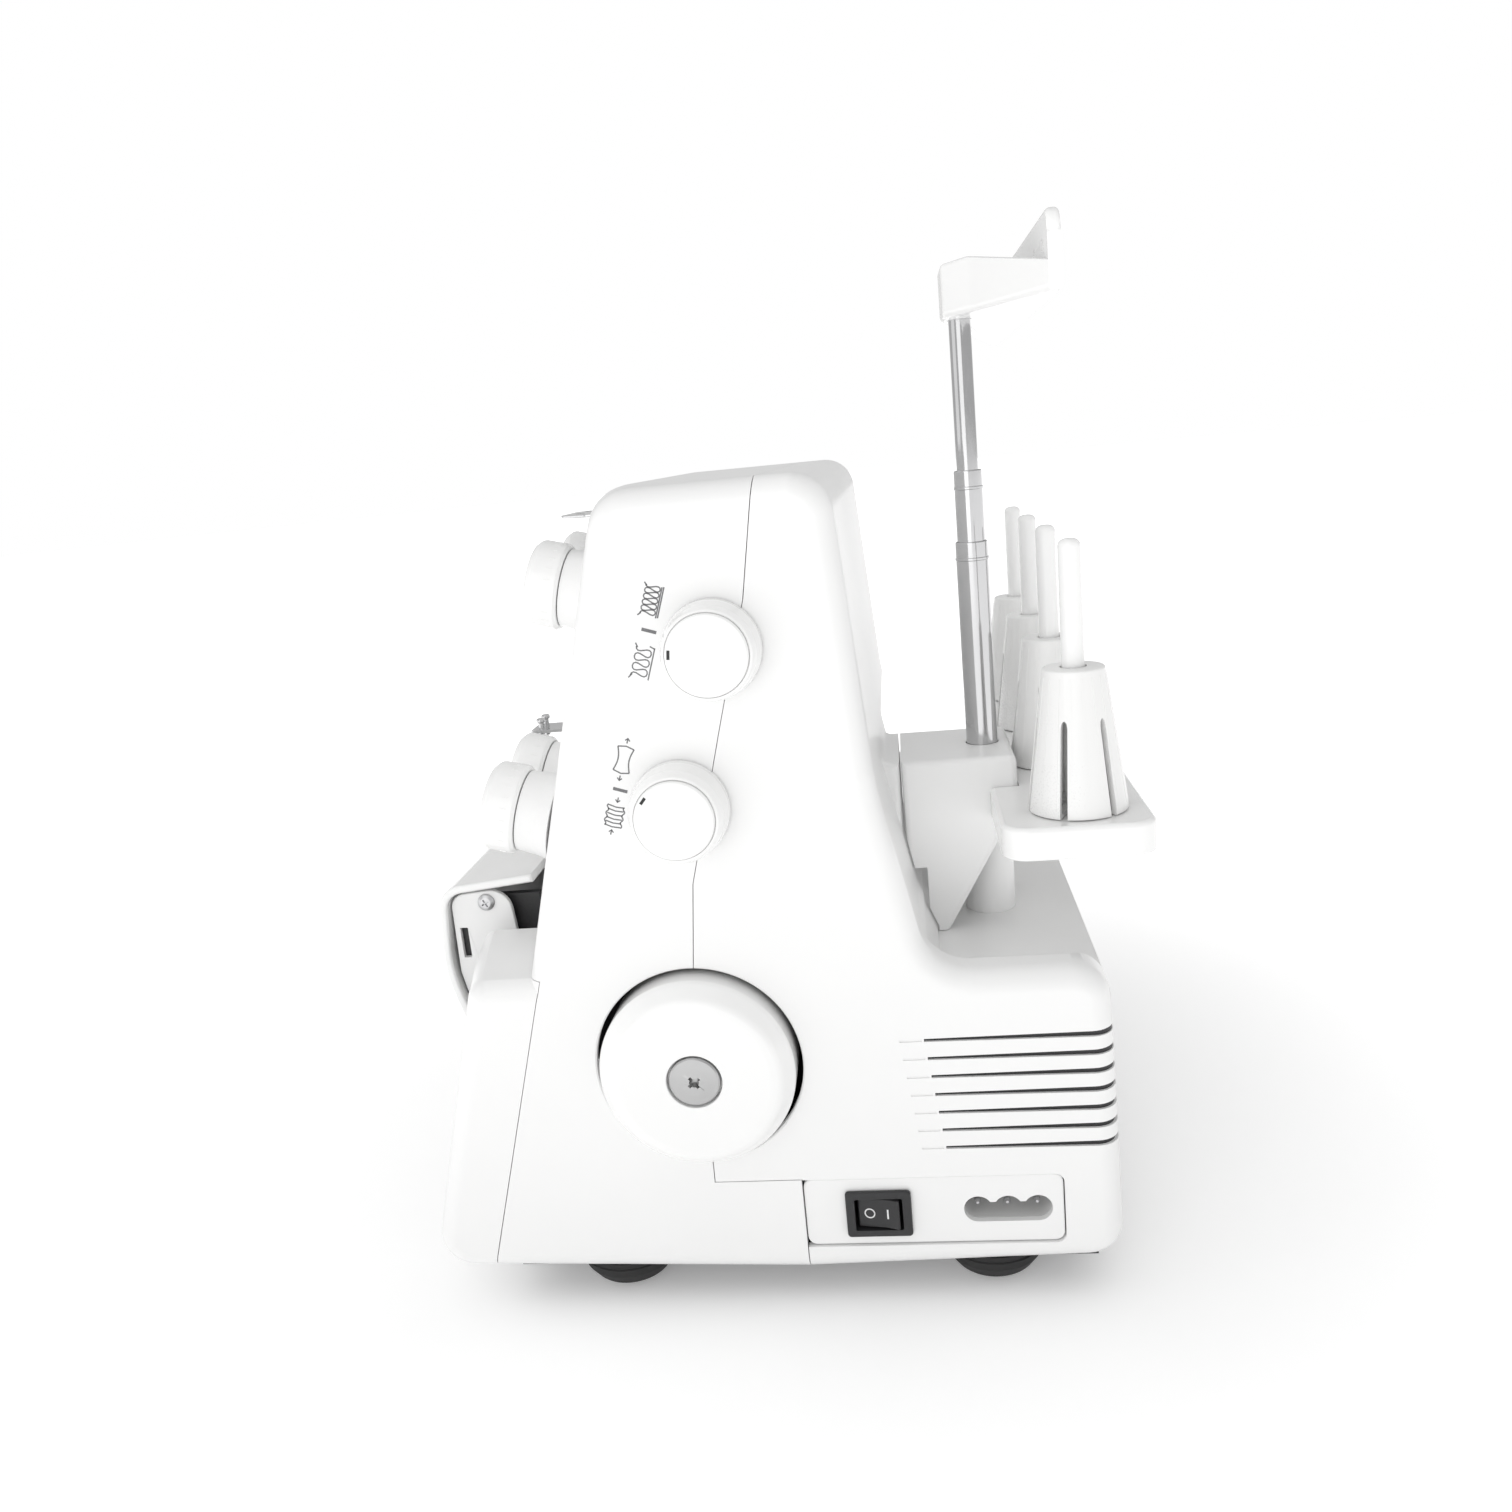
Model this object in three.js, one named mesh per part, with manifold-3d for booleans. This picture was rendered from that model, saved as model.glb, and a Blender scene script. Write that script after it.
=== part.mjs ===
// A four-thread serger (overlock sewing machine) as an assembly of separate pieces.
// Millimetres, +Z up. The operator sits at -Y and looks along +Y; +X is the operator's right, the
// side with the handwheel. The machine stands on four rubber feet at Z = 0, and the origin is under
// the middle of its bounding box.
import * as THREE from "three";
import { mergeVertices } from "three/addons/utils/BufferGeometryUtils.js";
import Module from "manifold-3d";

const wasm = await Module();
wasm.setup();

// ---------------------------------------------------------------- driving dimensions
const SIDE_X = 139.5; // outer face of the right side
const LEFT_X = -110.5; // outer face of the left side of bed and head
const WALL = 3; // moulded shell thickness
const GAP = 0.35; // between pieces that touch
const EDGE_R = 8; // rounding round the outline of the right and left sides
const BASE_Z = 14; // underside of the machine, above the feet
const TOP_Z = 301; // top of head and column
const DECK_Z = 128.5; // rim of the deck behind the column
const REAR_Y = 124; // rear face of the base
const FRONT = { y: -79.9, z: 136.5, slope: 0.2617, bulge: 14 }; // sloping front face
const APRON = { x: 84.8, topZ: 133.3, y: -101.8, toeY: -131.8, toeZ: 16.5 }; // lower front, right corner
const APRON_SEAM = { topY: -75.8, footY: -109 }; // joint between apron and column
const BED_Z = 150; // top of the cloth plate
const HEAD_Z = 193; // underside of the head
const COLUMN_X = 5; // left face of the column, beside the sewing space
const DISH = { x0: -92, x1: 122, y1: 106, z: 117 }; // lowered middle of the deck
const SILL_Z = 36; // top of the fixed sill below the looper cover

const WHEEL = { y: -22, z: 98.5, r: 35, well: 37.2, proud: 12 };
const KNOB = { skirt: 16.5, cap: 13.5, proud: 15 };
const LENGTH_KNOB = { y: -1.6, z: 247.5 };
const FEED_KNOB = { y: -18, z: 194 };
const DIAL = { r: 17.5, thick: 14, pedestal: 11, tilt: Math.atan(FRONT.slope) };
const DIALS = [[-5.5, 259.5], [44.5, 259.5], [34.5, 179], [84.5, 179]];
const PANEL = { y0: 10.6, y1: 103.5, z0: 24.4, z1: 51.3, recess: 0.8, thick: 2.5 };
const SWITCH = { y: 37.6, z: 37.4, w: 23.7, h: 18.3, rockerW: 15.8, rockerH: 11.6 };
const SOCKET = { y: 83.8, z: 37.7, pitch: 10.6, r: 5.1, depth: 14 };
const VENTS = { count: 7, pitch: 6.95, topZ: 104.9, y: 58, half: 1.15, creep: 0.87 };
const FEET = { x: [-88, 115], y: [-62, 79], r: 19.5 };

const SHAFT = { r: 6, x0: 2, pulleyX: 96, pulleyR: 28 };
const MOTOR = { y: 70, z: 62, r: 26, x0: 12, x1: 88, pulleyR: 7 };
const NEEDLE = { x: -57, y: -45, spread: 1.4, tipZ: 156 };
const PRESSER = { x: -57, y: -18 };
const KNIFE = { x: -35, pivotY: -25, pivotZ: 108 };
const LOWER_LOOPER = { x: -25, y: -54, z: 56 };
const UPPER_LOOPER = { x: -6, y: -68, z: 66 };
const LEVER = { y: 31, z: 214 };

const COVER = { x0: -108, x1: 74, pivotY: -112, pivotZ: 50, thick: 3.4 };
const TABLE = { x0: -155, x1: -111.2, y0: -88, y1: 52, z0: 128 };

const POLE = { x: 51.5, y: 88.5, holder: 10, r: [6.1, 5.25, 4], wall: 0.5, stepZ: [267.5, 294] };
const SHELF = { x0: 25.5, x1: 77.5, y0: 55.9, y1: 99.5, z: 188.8 };
const STAND = { x0: -110.5, x1: 132.5, y0: 89, y1: 141, z0: 165.5, z1: 177 };
const PINS = { x: [-89, -22.5, 44, 110.5], y: 117, r: 3.7, topZ: 270.6 };
const CONE = { base: 16, top: 8.3, height: 50 };
const TREE = { x0: -118.5, x1: 121.5, bossX: [40, 63], y0: 82, barY: 112.4, y1: 116.8, z0: 348, z1: 366.5, barZ: 373 };

// ---------------------------------------------------------------- colours
const paint = (color, roughness, metalness = 0) => () =>
  new THREE.MeshStandardMaterial({ color, roughness, metalness });
const white = paint(0xf3f3f2, 0.4);
const black = paint(0x1b1b1c, 0.5);
const rubber = paint(0x101011, 0.85);
const steel = paint(0xb9babc, 0.3, 1);
const chrome = paint(0xd6d7d9, 0.12, 1);
const casting = paint(0x3a3a3c, 0.6, 0.3);

// ---------------------------------------------------------------- solids
// A closed mesh as a body that can be cut and joined.
function solid(geometry) {
  const bare = geometry.index ? geometry.toNonIndexed() : geometry.clone();
  bare.deleteAttribute("normal");
  bare.deleteAttribute("uv");
  const merged = mergeVertices(bare, 1e-4);
  const corners = merged.index.array;
  const triangles = [];
  for (let i = 0; i < corners.length; i += 3) {
    const [a, b, c] = corners.slice(i, i + 3);
    if (a !== b && b !== c && c !== a) triangles.push(a, b, c);
  }
  const make = (order) =>
    new wasm.Manifold(
      new wasm.Mesh({
        numProp: 3,
        vertProperties: new Float32Array(merged.attributes.position.array),
        triVerts: new Uint32Array(order),
      }),
    );
  const body = make(triangles);
  return body.volume() < 0 ? make(triangles.reverse()) : body;
}

function geometryOf(body) {
  const mesh = body.getMesh();
  const positions = new Float32Array(mesh.numVert * 3);
  for (let i = 0; i < mesh.numVert; i++) {
    positions.set(mesh.vertProperties.subarray(i * mesh.numProp, i * mesh.numProp + 3), i * 3);
  }
  const geometry = new THREE.BufferGeometry();
  geometry.setAttribute("position", new THREE.BufferAttribute(positions, 3));
  geometry.setIndex(new THREE.BufferAttribute(mesh.triVerts, 1));
  return geometry;
}

const join = (first, ...others) => others.reduce((all, one) => all.add(one), first);
const cut = (first, ...others) => others.reduce((rest, one) => rest.subtract(one), first);

// Box between two corners.
function box(x0, x1, y0, y1, z0, z1) {
  const geometry = new THREE.BoxGeometry(x1 - x0, y1 - y0, z1 - z0);
  geometry.translate((x0 + x1) / 2, (y0 + y1) / 2, (z0 + z1) / 2);
  return solid(geometry);
}

// Turns a profile of [radius, height] points about the line from `at` along `along`.
function turned(profile, at, along, sides = 20) {
  const geometry = new THREE.LatheGeometry(profile.map(([r, h]) => new THREE.Vector2(r, h)), sides);
  const axis = new THREE.Vector3(...along).normalize();
  geometry.applyQuaternion(new THREE.Quaternion().setFromUnitVectors(new THREE.Vector3(0, 1, 0), axis));
  geometry.translate(...at);
  return solid(geometry);
}

const bar = (r, at, along, length, sides) =>
  turned([[0, 0], [r, 0], [r, length], [0, length]], at, along, sides);

const tube = (rOut, rIn, at, along, length, sides) =>
  turned([[rIn, 0], [rOut, 0], [rOut, length], [rIn, length], [rIn, 0]], at, along, sides);

// Outline from corners [a, b, radius]: a corner with a radius becomes an arc of `steps` chords.
function outline(corners, steps = 3) {
  const at = (i) => new THREE.Vector2(...corners[(i + corners.length) % corners.length].slice(0, 2));
  return corners.flatMap(([a, b, radius = 0], i) => {
    const here = new THREE.Vector2(a, b);
    if (!radius) return [here];
    const before = at(i - 1).sub(here).normalize();
    const after = at(i + 1).sub(here).normalize();
    const half = Math.acos(THREE.MathUtils.clamp(before.dot(after), -1, 1)) / 2;
    const middle = here.clone().addScaledVector(before.clone().add(after).normalize(), radius / Math.sin(half));
    const start = here.clone().addScaledVector(before, radius / Math.tan(half)).sub(middle);
    const end = here.clone().addScaledVector(after, radius / Math.tan(half)).sub(middle);
    const turn = Math.atan2(start.cross(end), start.dot(end));
    const arc = (s) => start.clone().rotateAround(new THREE.Vector2(), (turn * s) / steps).add(middle);
    return Array.from({ length: steps + 1 }, (_, s) => arc(s));
  });
}

// The same, for a path whose two ends stay as they are.
const openOutline = (corners) => outline(corners, 4);

// Open path moved to both sides by half of `thickness` and closed into an outline.
function strip(path, thickness) {
  const side = (sign) =>
    path.map((point, i) => {
      const along = path[Math.min(i + 1, path.length - 1)].clone().sub(path[Math.max(i - 1, 0)]).normalize();
      return new THREE.Vector2(point.x - along.y * sign, point.y + along.x * sign);
    });
  return [...side(thickness / 2), ...side(-thickness / 2).reverse()];
}

// Prisms: over an outline in (Y, Z) from x0 to x1, in (X, Z) from y0 to y1, in (X, Y) from z0 to z1.
function prism(points, depth, basis) {
  const geometry = new THREE.ExtrudeGeometry(new THREE.Shape(points), { depth, bevelEnabled: false });
  return solid(geometry.applyMatrix4(basis));
}
const sidePrism = (points, x0, x1) =>
  prism(points, x1 - x0, new THREE.Matrix4().set(0, 0, 1, x0, 1, 0, 0, 0, 0, 1, 0, 0, 0, 0, 0, 1));
const frontPrism = (points, y0, y1) =>
  prism(points, y1 - y0, new THREE.Matrix4().set(1, 0, 0, 0, 0, 0, -1, y1, 0, 1, 0, 0, 0, 0, 0, 1));
const planPrism = (points, z0, z1) => prism(points, z1 - z0, new THREE.Matrix4().makeTranslation(0, 0, z0));

// Anticlockwise outline moved inwards.
function inset(points, by) {
  const count = points.length;
  return points.map((point, i) => {
    const before = point.clone().sub(points[(i + count - 1) % count]).normalize();
    const after = points[(i + 1) % count].clone().sub(point).normalize();
    const inward = new THREE.Vector2(-before.y - after.y, before.x + after.x).normalize();
    const lean = Math.max(0.5, inward.dot(new THREE.Vector2(-before.y, before.x)));
    return point.clone().addScaledVector(inward, by / lean);
  });
}

// Skin through rings of (Y, Z) points, one ring at each x, closed at both ends.
function loft(rings) {
  const count = rings[0].points.length;
  const positions = rings.flatMap(({ x, points }) => points.flatMap((p) => [x, p.x, p.y]));
  const triangles = [];
  for (let r = 0; r + 1 < rings.length; r++) {
    for (let i = 0; i < count; i++) {
      const a = r * count + i;
      const b = r * count + ((i + 1) % count);
      triangles.push(a, b, b + count, a, b + count, a + count);
    }
  }
  const last = (rings.length - 1) * count;
  const cap = (ring) => THREE.ShapeUtils.triangulateShape(ring.points, []);
  cap(rings[0]).forEach(([a, b, c]) => triangles.push(a, c, b));
  cap(rings.at(-1)).forEach(([a, b, c]) => triangles.push(last + a, last + b, last + c));
  const geometry = new THREE.BufferGeometry();
  geometry.setAttribute("position", new THREE.BufferAttribute(new Float32Array(positions), 3));
  geometry.setIndex(triangles);
  return solid(geometry);
}

// ---------------------------------------------------------------- the machine
const machine = new THREE.Group();
machine.name = "serger";

function add(name, body, material) {
  const mesh = new THREE.Mesh(geometryOf(body), material());
  mesh.name = name;
  machine.add(mesh);
}

// How far the front swells forward of its right edge, at a given X.
function bulgeAt(x) {
  const t = THREE.MathUtils.clamp((SIDE_X - EDGE_R - x) / 90, 0, 1);
  return FRONT.bulge * Math.sin((t * Math.PI) / 2);
}

// Front face of the column and head at a given X and Z.
const frontY = (x, z) => FRONT.y + FRONT.slope * (z - FRONT.z) - bulgeAt(x);

// Side view of the whole moulded body: apron, base, deck, column and sloping front.
function bodyOutline(bulge) {
  const front = (z) => FRONT.y + FRONT.slope * (z - FRONT.z) - bulge;
  return outline([
    [APRON.toeY - bulge, APRON.toeZ, 13],
    [10, BASE_Z - 1.2],
    [REAR_Y + 1, BASE_Z + 2, 13],
    [REAR_Y - 1.3, DECK_Z, 13],
    [62, DECK_Z, 18],
    [48, 195, 90],
    [40, TOP_Z, 14],
    [front(TOP_Z), TOP_Z, 16],
    [front(APRON.topZ), APRON.topZ],
    [APRON.y - bulge, APRON.topZ, 9],
  ], 3);
}

// The body `deep` millimetres under its surface, with rounded left and right edges.
function bodyAt(deep) {
  const edge = EDGE_R - deep;
  const quarter = [0, 45, 90].map((degrees) => THREE.MathUtils.degToRad(degrees));
  const ends = quarter.map((a) => [edge * (1 - Math.cos(a)), edge * (1 - Math.sin(a))]);
  const left = ends.map(([along, in_]) => [LEFT_X + deep + along, in_]);
  const right = ends.map(([along, in_]) => [SIDE_X - deep - along, in_]).reverse();
  const middle = [60, 86, 110].map((x) => [x, 0]);
  return loft([...left, ...middle, ...right].map(([x, in_]) => ({
    x,
    points: inset(bodyOutline(bulgeAt(x)), deep + in_),
  })));
}

// The joint between the front and rear housings in (Y, Z), from the top down, moved by `by`.
function seam(by) {
  return [[19.5, 320], [9.7, 262.5], [-2.8, 218.5], [-17, 166.7], [-20.2, 136], [-21.2, PANEL.z1 + GAP],
    [PANEL.y0, PANEL.z1 + GAP], [PANEL.y0, 0]].map(([y, z]) => new THREE.Vector2(y + by, z + by));
}

const dishAt = (deep) =>
  box(DISH.x0 - deep, DISH.x1 + deep, 45, DISH.y1 + deep, DISH.z - deep, DECK_Z + 12)
    .subtract(sidePrism(outline([[0, 100], [66 - deep, 100], [66 - deep, DISH.z], [61 - deep, DECK_Z + 6],
      [57 - deep, DECK_Z + 14], [0, DECK_Z + 14]]), -200, 200));

// Outer body and its hollow, with the sewing space and the deck's dish taken out.
const sewingSpace = (deep) => box(-200, COLUMN_X + deep, -200, 200, BED_Z - 3 - deep, HEAD_Z + deep);
const envelope = cut(bodyAt(0), sewingSpace(0), dishAt(0));
const hollow = cut(bodyAt(WALL), sewingSpace(WALL), dishAt(WALL));

// Stub on the column's rear wall that carries the bracket of the spool stand.
const shelfStub = sidePrism(outline([[42, SHELF.z + 16], [49.5, SHELF.z + 9, 6], [52, SHELF.z, 6], [SHELF.y0 - GAP, SHELF.z],
  [SHELF.y0 - GAP, 135], [42, 135]]), SHELF.x0, SHELF.x1);

// Everything in front of the joint between apron and column.
const apronRegion = (by, x0, x1) =>
  sidePrism([[-200, 0], [APRON_SEAM.footY + by, 0], [APRON_SEAM.footY + by, 17], [APRON_SEAM.topY + by, APRON.topZ + by],
    [-200, APRON.topZ + by]].map(([y, z]) => new THREE.Vector2(y, z)), x0, x1);

const platePit = box(-100, 0, -86, -8, BED_Z - 8, BED_Z);
const trayOpening = box(LEFT_X + 6, SIDE_X - 6, APRON_SEAM.footY + 8, REAR_Y - 8, 0, BASE_Z + 6);

// Where spindles, wheel and dials pass through the walls.
function wallHoles() {
  const sideHole = ({ y, z }, r) => bar(r, [SIDE_X - 12, y, z], [1, 0, 0], 20, 32);
  return join(
    sideHole(WHEEL, WHEEL.well),
    sideHole(LENGTH_KNOB, 4.6),
    sideHole(FEED_KNOB, 4.6),
    ...DIALS.map(([x, z]) => bar(4.6, [x, frontY(x, z) + 14, z - 4], dialAxis, 40)),
  );
}

const dialAxis = [0, -Math.cos(DIAL.tilt), Math.sin(DIAL.tilt)];
const alongDial = (x, z, distance) =>
  [x, frontY(x, z) + dialAxis[1] * distance, z + dialAxis[2] * distance];

function dialPedestals() {
  return join(...DIALS.map(([x, z]) =>
    turned([[0, 0], [16.5, 0], [15.5, DIAL.pedestal + 2], [0, DIAL.pedestal + 2]], alongDial(x, z, -2), dialAxis)));
}

function frontHousing() {
  const region = sidePrism([...seam(0), new THREE.Vector2(-300, 0), new THREE.Vector2(-300, 320)], -200, 200);
  const shell = cut(join(envelope, dialPedestals()), hollow).intersect(region);
  const needleSlot = box(NEEDLE.x - 9, NEEDLE.x + 9, -60, -8, HEAD_Z - 5, HEAD_Z + 5);
  const tongue = box(LEFT_X - 5, LEFT_X + 8, -62.5, -47.5, 127.5, 134.5);
  const knifeNotch = box(KNIFE.x - 7, KNIFE.x + 6, -99, -86, BED_Z - 30, BED_Z);
  const apronX = APRON.x - GAP;
  const compartment = apronRegion(0, -200, apronX).subtract(box(-200, 200, -200, 0, 0, SILL_Z));
  return cut(shell, apronRegion(0, apronX - 1e-3, 200), compartment, trayOpening, wallHoles(), platePit, needleSlot, tongue, knifeNotch);
}

function rearHousing() {
  const region = sidePrism([...seam(GAP), new THREE.Vector2(300, 0), new THREE.Vector2(300, 320)], -200, 200);
  const panelHole = box(SIDE_X - 8, SIDE_X + 5, PANEL.y0 - 2, PANEL.y1 + GAP, PANEL.z0 - GAP, PANEL.z1 + GAP);
  const slots = Array.from({ length: VENTS.count }, (_, i) => {
    const z = VENTS.topZ - i * VENTS.pitch;
    return box(SIDE_X - 9, SIDE_X + 5, VENTS.y + i * VENTS.creep, REAR_Y + 9, z - VENTS.half, z + VENTS.half);
  });
  const leverSlot = box(PRESSER.x - 5, PRESSER.x + 5, 19, 44, HEAD_Z - 5, HEAD_Z + 5);
  const tongue = box(LEFT_X - 5, LEFT_X + 8, 17.5, 32.5, 127.5, 134.5);
  const shell = cut(join(envelope, shelfStub), hollow).intersect(region);
  return cut(shell, trayOpening, wallHoles(), platePit, panelHole, leverSlot, tongue, ...slots);
}

function apron() {
  const x0 = APRON.x;
  const region = apronRegion(-GAP, x0, 200);
  const skin = cut(envelope, hollow).intersect(region);
  const endWall = envelope.intersect(apronRegion(-GAP - 1, x0, x0 + WALL));
  return join(skin, endWall);
}

function baseTray() {
  const [x0, x1, y0, y1] = [LEFT_X + 6.4, SIDE_X - 6.4, APRON_SEAM.footY + 8.4, REAR_Y - 8.4];
  const plate = box(x0, x1, y0, y1, BASE_Z + 0.6, BASE_Z + 3.6);
  const rim = cut(box(x0, x1, y0, y1, BASE_Z + 3, BASE_Z + 5.6), box(x0 + 2, x1 - 2, y0 + 2, y1 - 2, BASE_Z, BASE_Z + 12));
  const posts = [[-80, -40], [80, -40], [-80, 25], [80, 25]].map(([x, y]) =>
    bar(6, [x, y, BASE_Z + 2], [0, 0, 1], 8, 16));
  return join(plate, rim, ...posts);
}

function foot(x, y) {
  return turned([[0, 0], [9, 0], [15, 3.2], [18.4, 8], [FEET.r, BASE_Z + 0.25], [0, BASE_Z + 0.25]],
    [x, y, 0], [0, 0, 1], 20);
}

// ---------------------------------------------------------------- power side
// Three round socket holes run together, flat along the bottom, in (Y, Z).
function socketOutline() {
  const arcs = [1, 0, -1].flatMap((i) => {
    const start = i === 1 ? -20 : 38;
    const end = i === -1 ? 200 : 142;
    return Array.from({ length: 9 }, (_, s) => {
      const angle = THREE.MathUtils.degToRad(start + ((end - start) * s) / 8);
      return new THREE.Vector2(SOCKET.y + i * SOCKET.pitch + SOCKET.r * Math.cos(angle),
        SOCKET.z + SOCKET.r * Math.sin(angle));
    });
  });
  const flat = SOCKET.z - SOCKET.r;
  return [...arcs, new THREE.Vector2(SOCKET.y - SOCKET.pitch - 3, flat), new THREE.Vector2(SOCKET.y + SOCKET.pitch + 3, flat)];
}

const panelFace = SIDE_X - PANEL.recess;

function powerPanel() {
  const plate = sidePrism(outline([[PANEL.y0 + GAP, PANEL.z0, 3.5], [PANEL.y1, PANEL.z0, 3.5],
    [PANEL.y1, PANEL.z1, 3.5], [PANEL.y0 + GAP, PANEL.z1, 3.5]]), panelFace - PANEL.thick, panelFace);
  const [w, h] = [SWITCH.w / 2 - 1.2, SWITCH.h / 2 - 1.2];
  const switchHole = box(panelFace - 5, panelFace + 2, SWITCH.y - w, SWITCH.y + w, SWITCH.z - h, SWITCH.z + h);
  return cut(plate, switchHole, sidePrism(socketOutline(), panelFace - 5, panelFace + 2));
}

function switchBezel() {
  const [w, h] = [SWITCH.w / 2, SWITCH.h / 2];
  const flange = box(panelFace + GAP, panelFace + 1.9, SWITCH.y - w, SWITCH.y + w, SWITCH.z - h, SWITCH.z + h);
  const body = box(panelFace - 18, panelFace + 1, SWITCH.y - w + 1.6, SWITCH.y + w - 1.6, SWITCH.z - h + 1.6, SWITCH.z + h - 1.6);
  const [rw, rh] = [SWITCH.rockerW / 2 + 0.7, SWITCH.rockerH / 2 + 0.5];
  const well = box(panelFace - 15, panelFace + 5, SWITCH.y - rw, SWITCH.y + rw, SWITCH.z - rh, SWITCH.z + rh);
  return cut(join(flange, body), well);
}

// Rocker with its O side pressed, swinging about an upright pin.
function powerRocker() {
  const w = SWITCH.rockerW / 2;
  const [pivot, face] = [panelFace - 3, panelFace + 2.2];
  const shape = outline([[pivot - 5, SWITCH.y - w + 3, 1], [pivot - 5, SWITCH.y + w - 3, 1], [face + 1.2, SWITCH.y + w, 0.8],
    [face - 1.2, SWITCH.y], [face - 2.4, SWITCH.y - w, 0.8]]).map((p) => new THREE.Vector2(p.x, p.y));
  return planPrism(shape, SWITCH.z - SWITCH.rockerH / 2, SWITCH.z + SWITCH.rockerH / 2);
}

function footControlSocket() {
  const back = panelFace - PANEL.thick - GAP;
  const body = box(back - SOCKET.depth - 3, back, SOCKET.y - 19, SOCKET.y + 19, SOCKET.z - 7, SOCKET.z + 7.2);
  const well = sidePrism(socketOutline(), back - SOCKET.depth, back + 1);
  const prongs = [-1, 0, 1].map((i) =>
    bar(1.2, [back - SOCKET.depth - 1, SOCKET.y + i * SOCKET.pitch, SOCKET.z], [1, 0, 0], SOCKET.depth, 12));
  return join(cut(body, well), ...prongs);
}

// ---------------------------------------------------------------- knobs and wheel
function sideKnob({ y, z }, spare) {
  const x = SIDE_X + GAP;
  const { skirt, cap, proud } = KNOB;
  const r = skirt + spare;
  return turned([[0, -12], [4, -12], [4, 0], [r, 0], [r, 3.8], [cap + 0.5, 5.6], [cap, proud - 1.5],
    [cap - 1.5, proud], [0, proud]], [x, y, z], [1, 0, 0], 28);
}

function tensionDial(x, z) {
  const { r, thick, pedestal } = DIAL;
  const start = pedestal + GAP;
  return turned([[0, -14], [4, -14], [4, start], [r - 0.8, start], [r, start + 1], [r, start + thick - 3],
    [r - 2.8, start + thick], [0, start + thick]], alongDial(x, z, 0), dialAxis, 24);
}

function handwheel() {
  const { r, proud } = WHEEL;
  const back = -14;
  const hub = SHAFT.r + GAP;
  return turned([[hub, back], [11, back], [11, 4], [r - 4, 4], [r - 4, back], [r, back], [r, proud - 6],
    [r - 2, proud - 1.6], [r - 6, proud], [9.6, proud], [9.6, proud - 3], [3.4, proud - 3], [3.4, -1.6],
    [hub, -1.6], [hub, back]], [SIDE_X, WHEEL.y, WHEEL.z], [1, 0, 0], 30);
}

function handwheelScrew() {
  const { proud } = WHEEL;
  const screw = turned([[0, -1.2], [3, -1.2], [3, proud - 2.7], [9, proud - 2.7], [9, proud - 0.6], [8, proud + 0.4],
    [0, proud + 0.4]], [SIDE_X, WHEEL.y, WHEEL.z], [1, 0, 0], 20);
  const x0 = SIDE_X + proud - 1.6;
  const cross = join(box(x0, x0 + 5, WHEEL.y - 4.5, WHEEL.y + 4.5, WHEEL.z - 0.8, WHEEL.z + 0.8),
    box(x0, x0 + 5, WHEEL.y - 0.8, WHEEL.y + 0.8, WHEEL.z - 4.5, WHEEL.z + 4.5));
  return cut(screw, cross);
}

// ---------------------------------------------------------------- drive inside
const mainShaft = () => bar(SHAFT.r, [SHAFT.x0, WHEEL.y, WHEEL.z], [1, 0, 0], SIDE_X - 2 - SHAFT.x0, 24);

function drivePulley() {
  const { pulleyR: r, pulleyX } = SHAFT;
  return turned([[SHAFT.r + GAP, 0], [r + 2, 0], [r + 2, 1.4], [r, 1.8], [r, 8.2], [r + 2, 8.6], [r + 2, 10],
    [SHAFT.r + GAP, 10], [SHAFT.r + GAP, 0]], [pulleyX, WHEEL.y, WHEEL.z], [1, 0, 0], 20);
}

function motor() {
  const { y, z, r, x0, x1 } = MOTOR;
  const can = turned([[0, 0], [r - 2, 0], [r, 2], [r, x1 - x0 - 2], [r - 2, x1 - x0], [5, x1 - x0], [5, x1 - x0 + 3], [2.8, x1 - x0 + 3],
    [2.8, x1 - x0 - 10], [0, x1 - x0 - 10]], [x0, y, z], [1, 0, 0], 20);
  const saddle = box(x0 + 8, x1 - 8, y - 18, y + 18, BASE_Z + 4.2, z - r + 8);
  return join(can, saddle);
}

function motorPulley() {
  const { y, z, x1, pulleyR: r } = MOTOR;
  const near = SHAFT.pulleyX - x1;
  return turned([[0, -9], [2.4, -9], [2.4, near], [r + 1.6, near], [r + 1.6, near + 1.2], [r, near + 1.8], [r, near + 8.2],
    [r + 1.6, near + 8.8], [r + 1.6, near + 10], [0, near + 10]], [x1, y, z], [1, 0, 0], 16);
}

// Toothless loop round both pulleys, with its tangent lines worked out from the two radii.
function driveBelt() {
  const big = new THREE.Vector2(WHEEL.y, WHEEL.z);
  const small = new THREE.Vector2(MOTOR.y, MOTOR.z);
  const between = small.clone().sub(big);
  const loop = (extra) => {
    const [R, r] = [SHAFT.pulleyR + extra, MOTOR.pulleyR + extra];
    const lean = Math.acos((R - r) / between.length());
    const heading = between.angle();
    const arc = (centre, radius, from, to, steps) =>
      Array.from({ length: steps + 1 }, (_, s) => {
        const angle = from + ((to - from) * s) / steps;
        return new THREE.Vector2(centre.x + radius * Math.cos(angle), centre.y + radius * Math.sin(angle));
      });
    return [...arc(small, r, heading - lean, heading + lean, 10),
      ...arc(big, R, heading + lean, heading + 2 * Math.PI - lean, 18)];
  };
  const x = SHAFT.pulleyX;
  return cut(sidePrism(loop(2.4), x + 2.4, x + 7.6), sidePrism(loop(0.5), x, x + 10));
}

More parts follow.
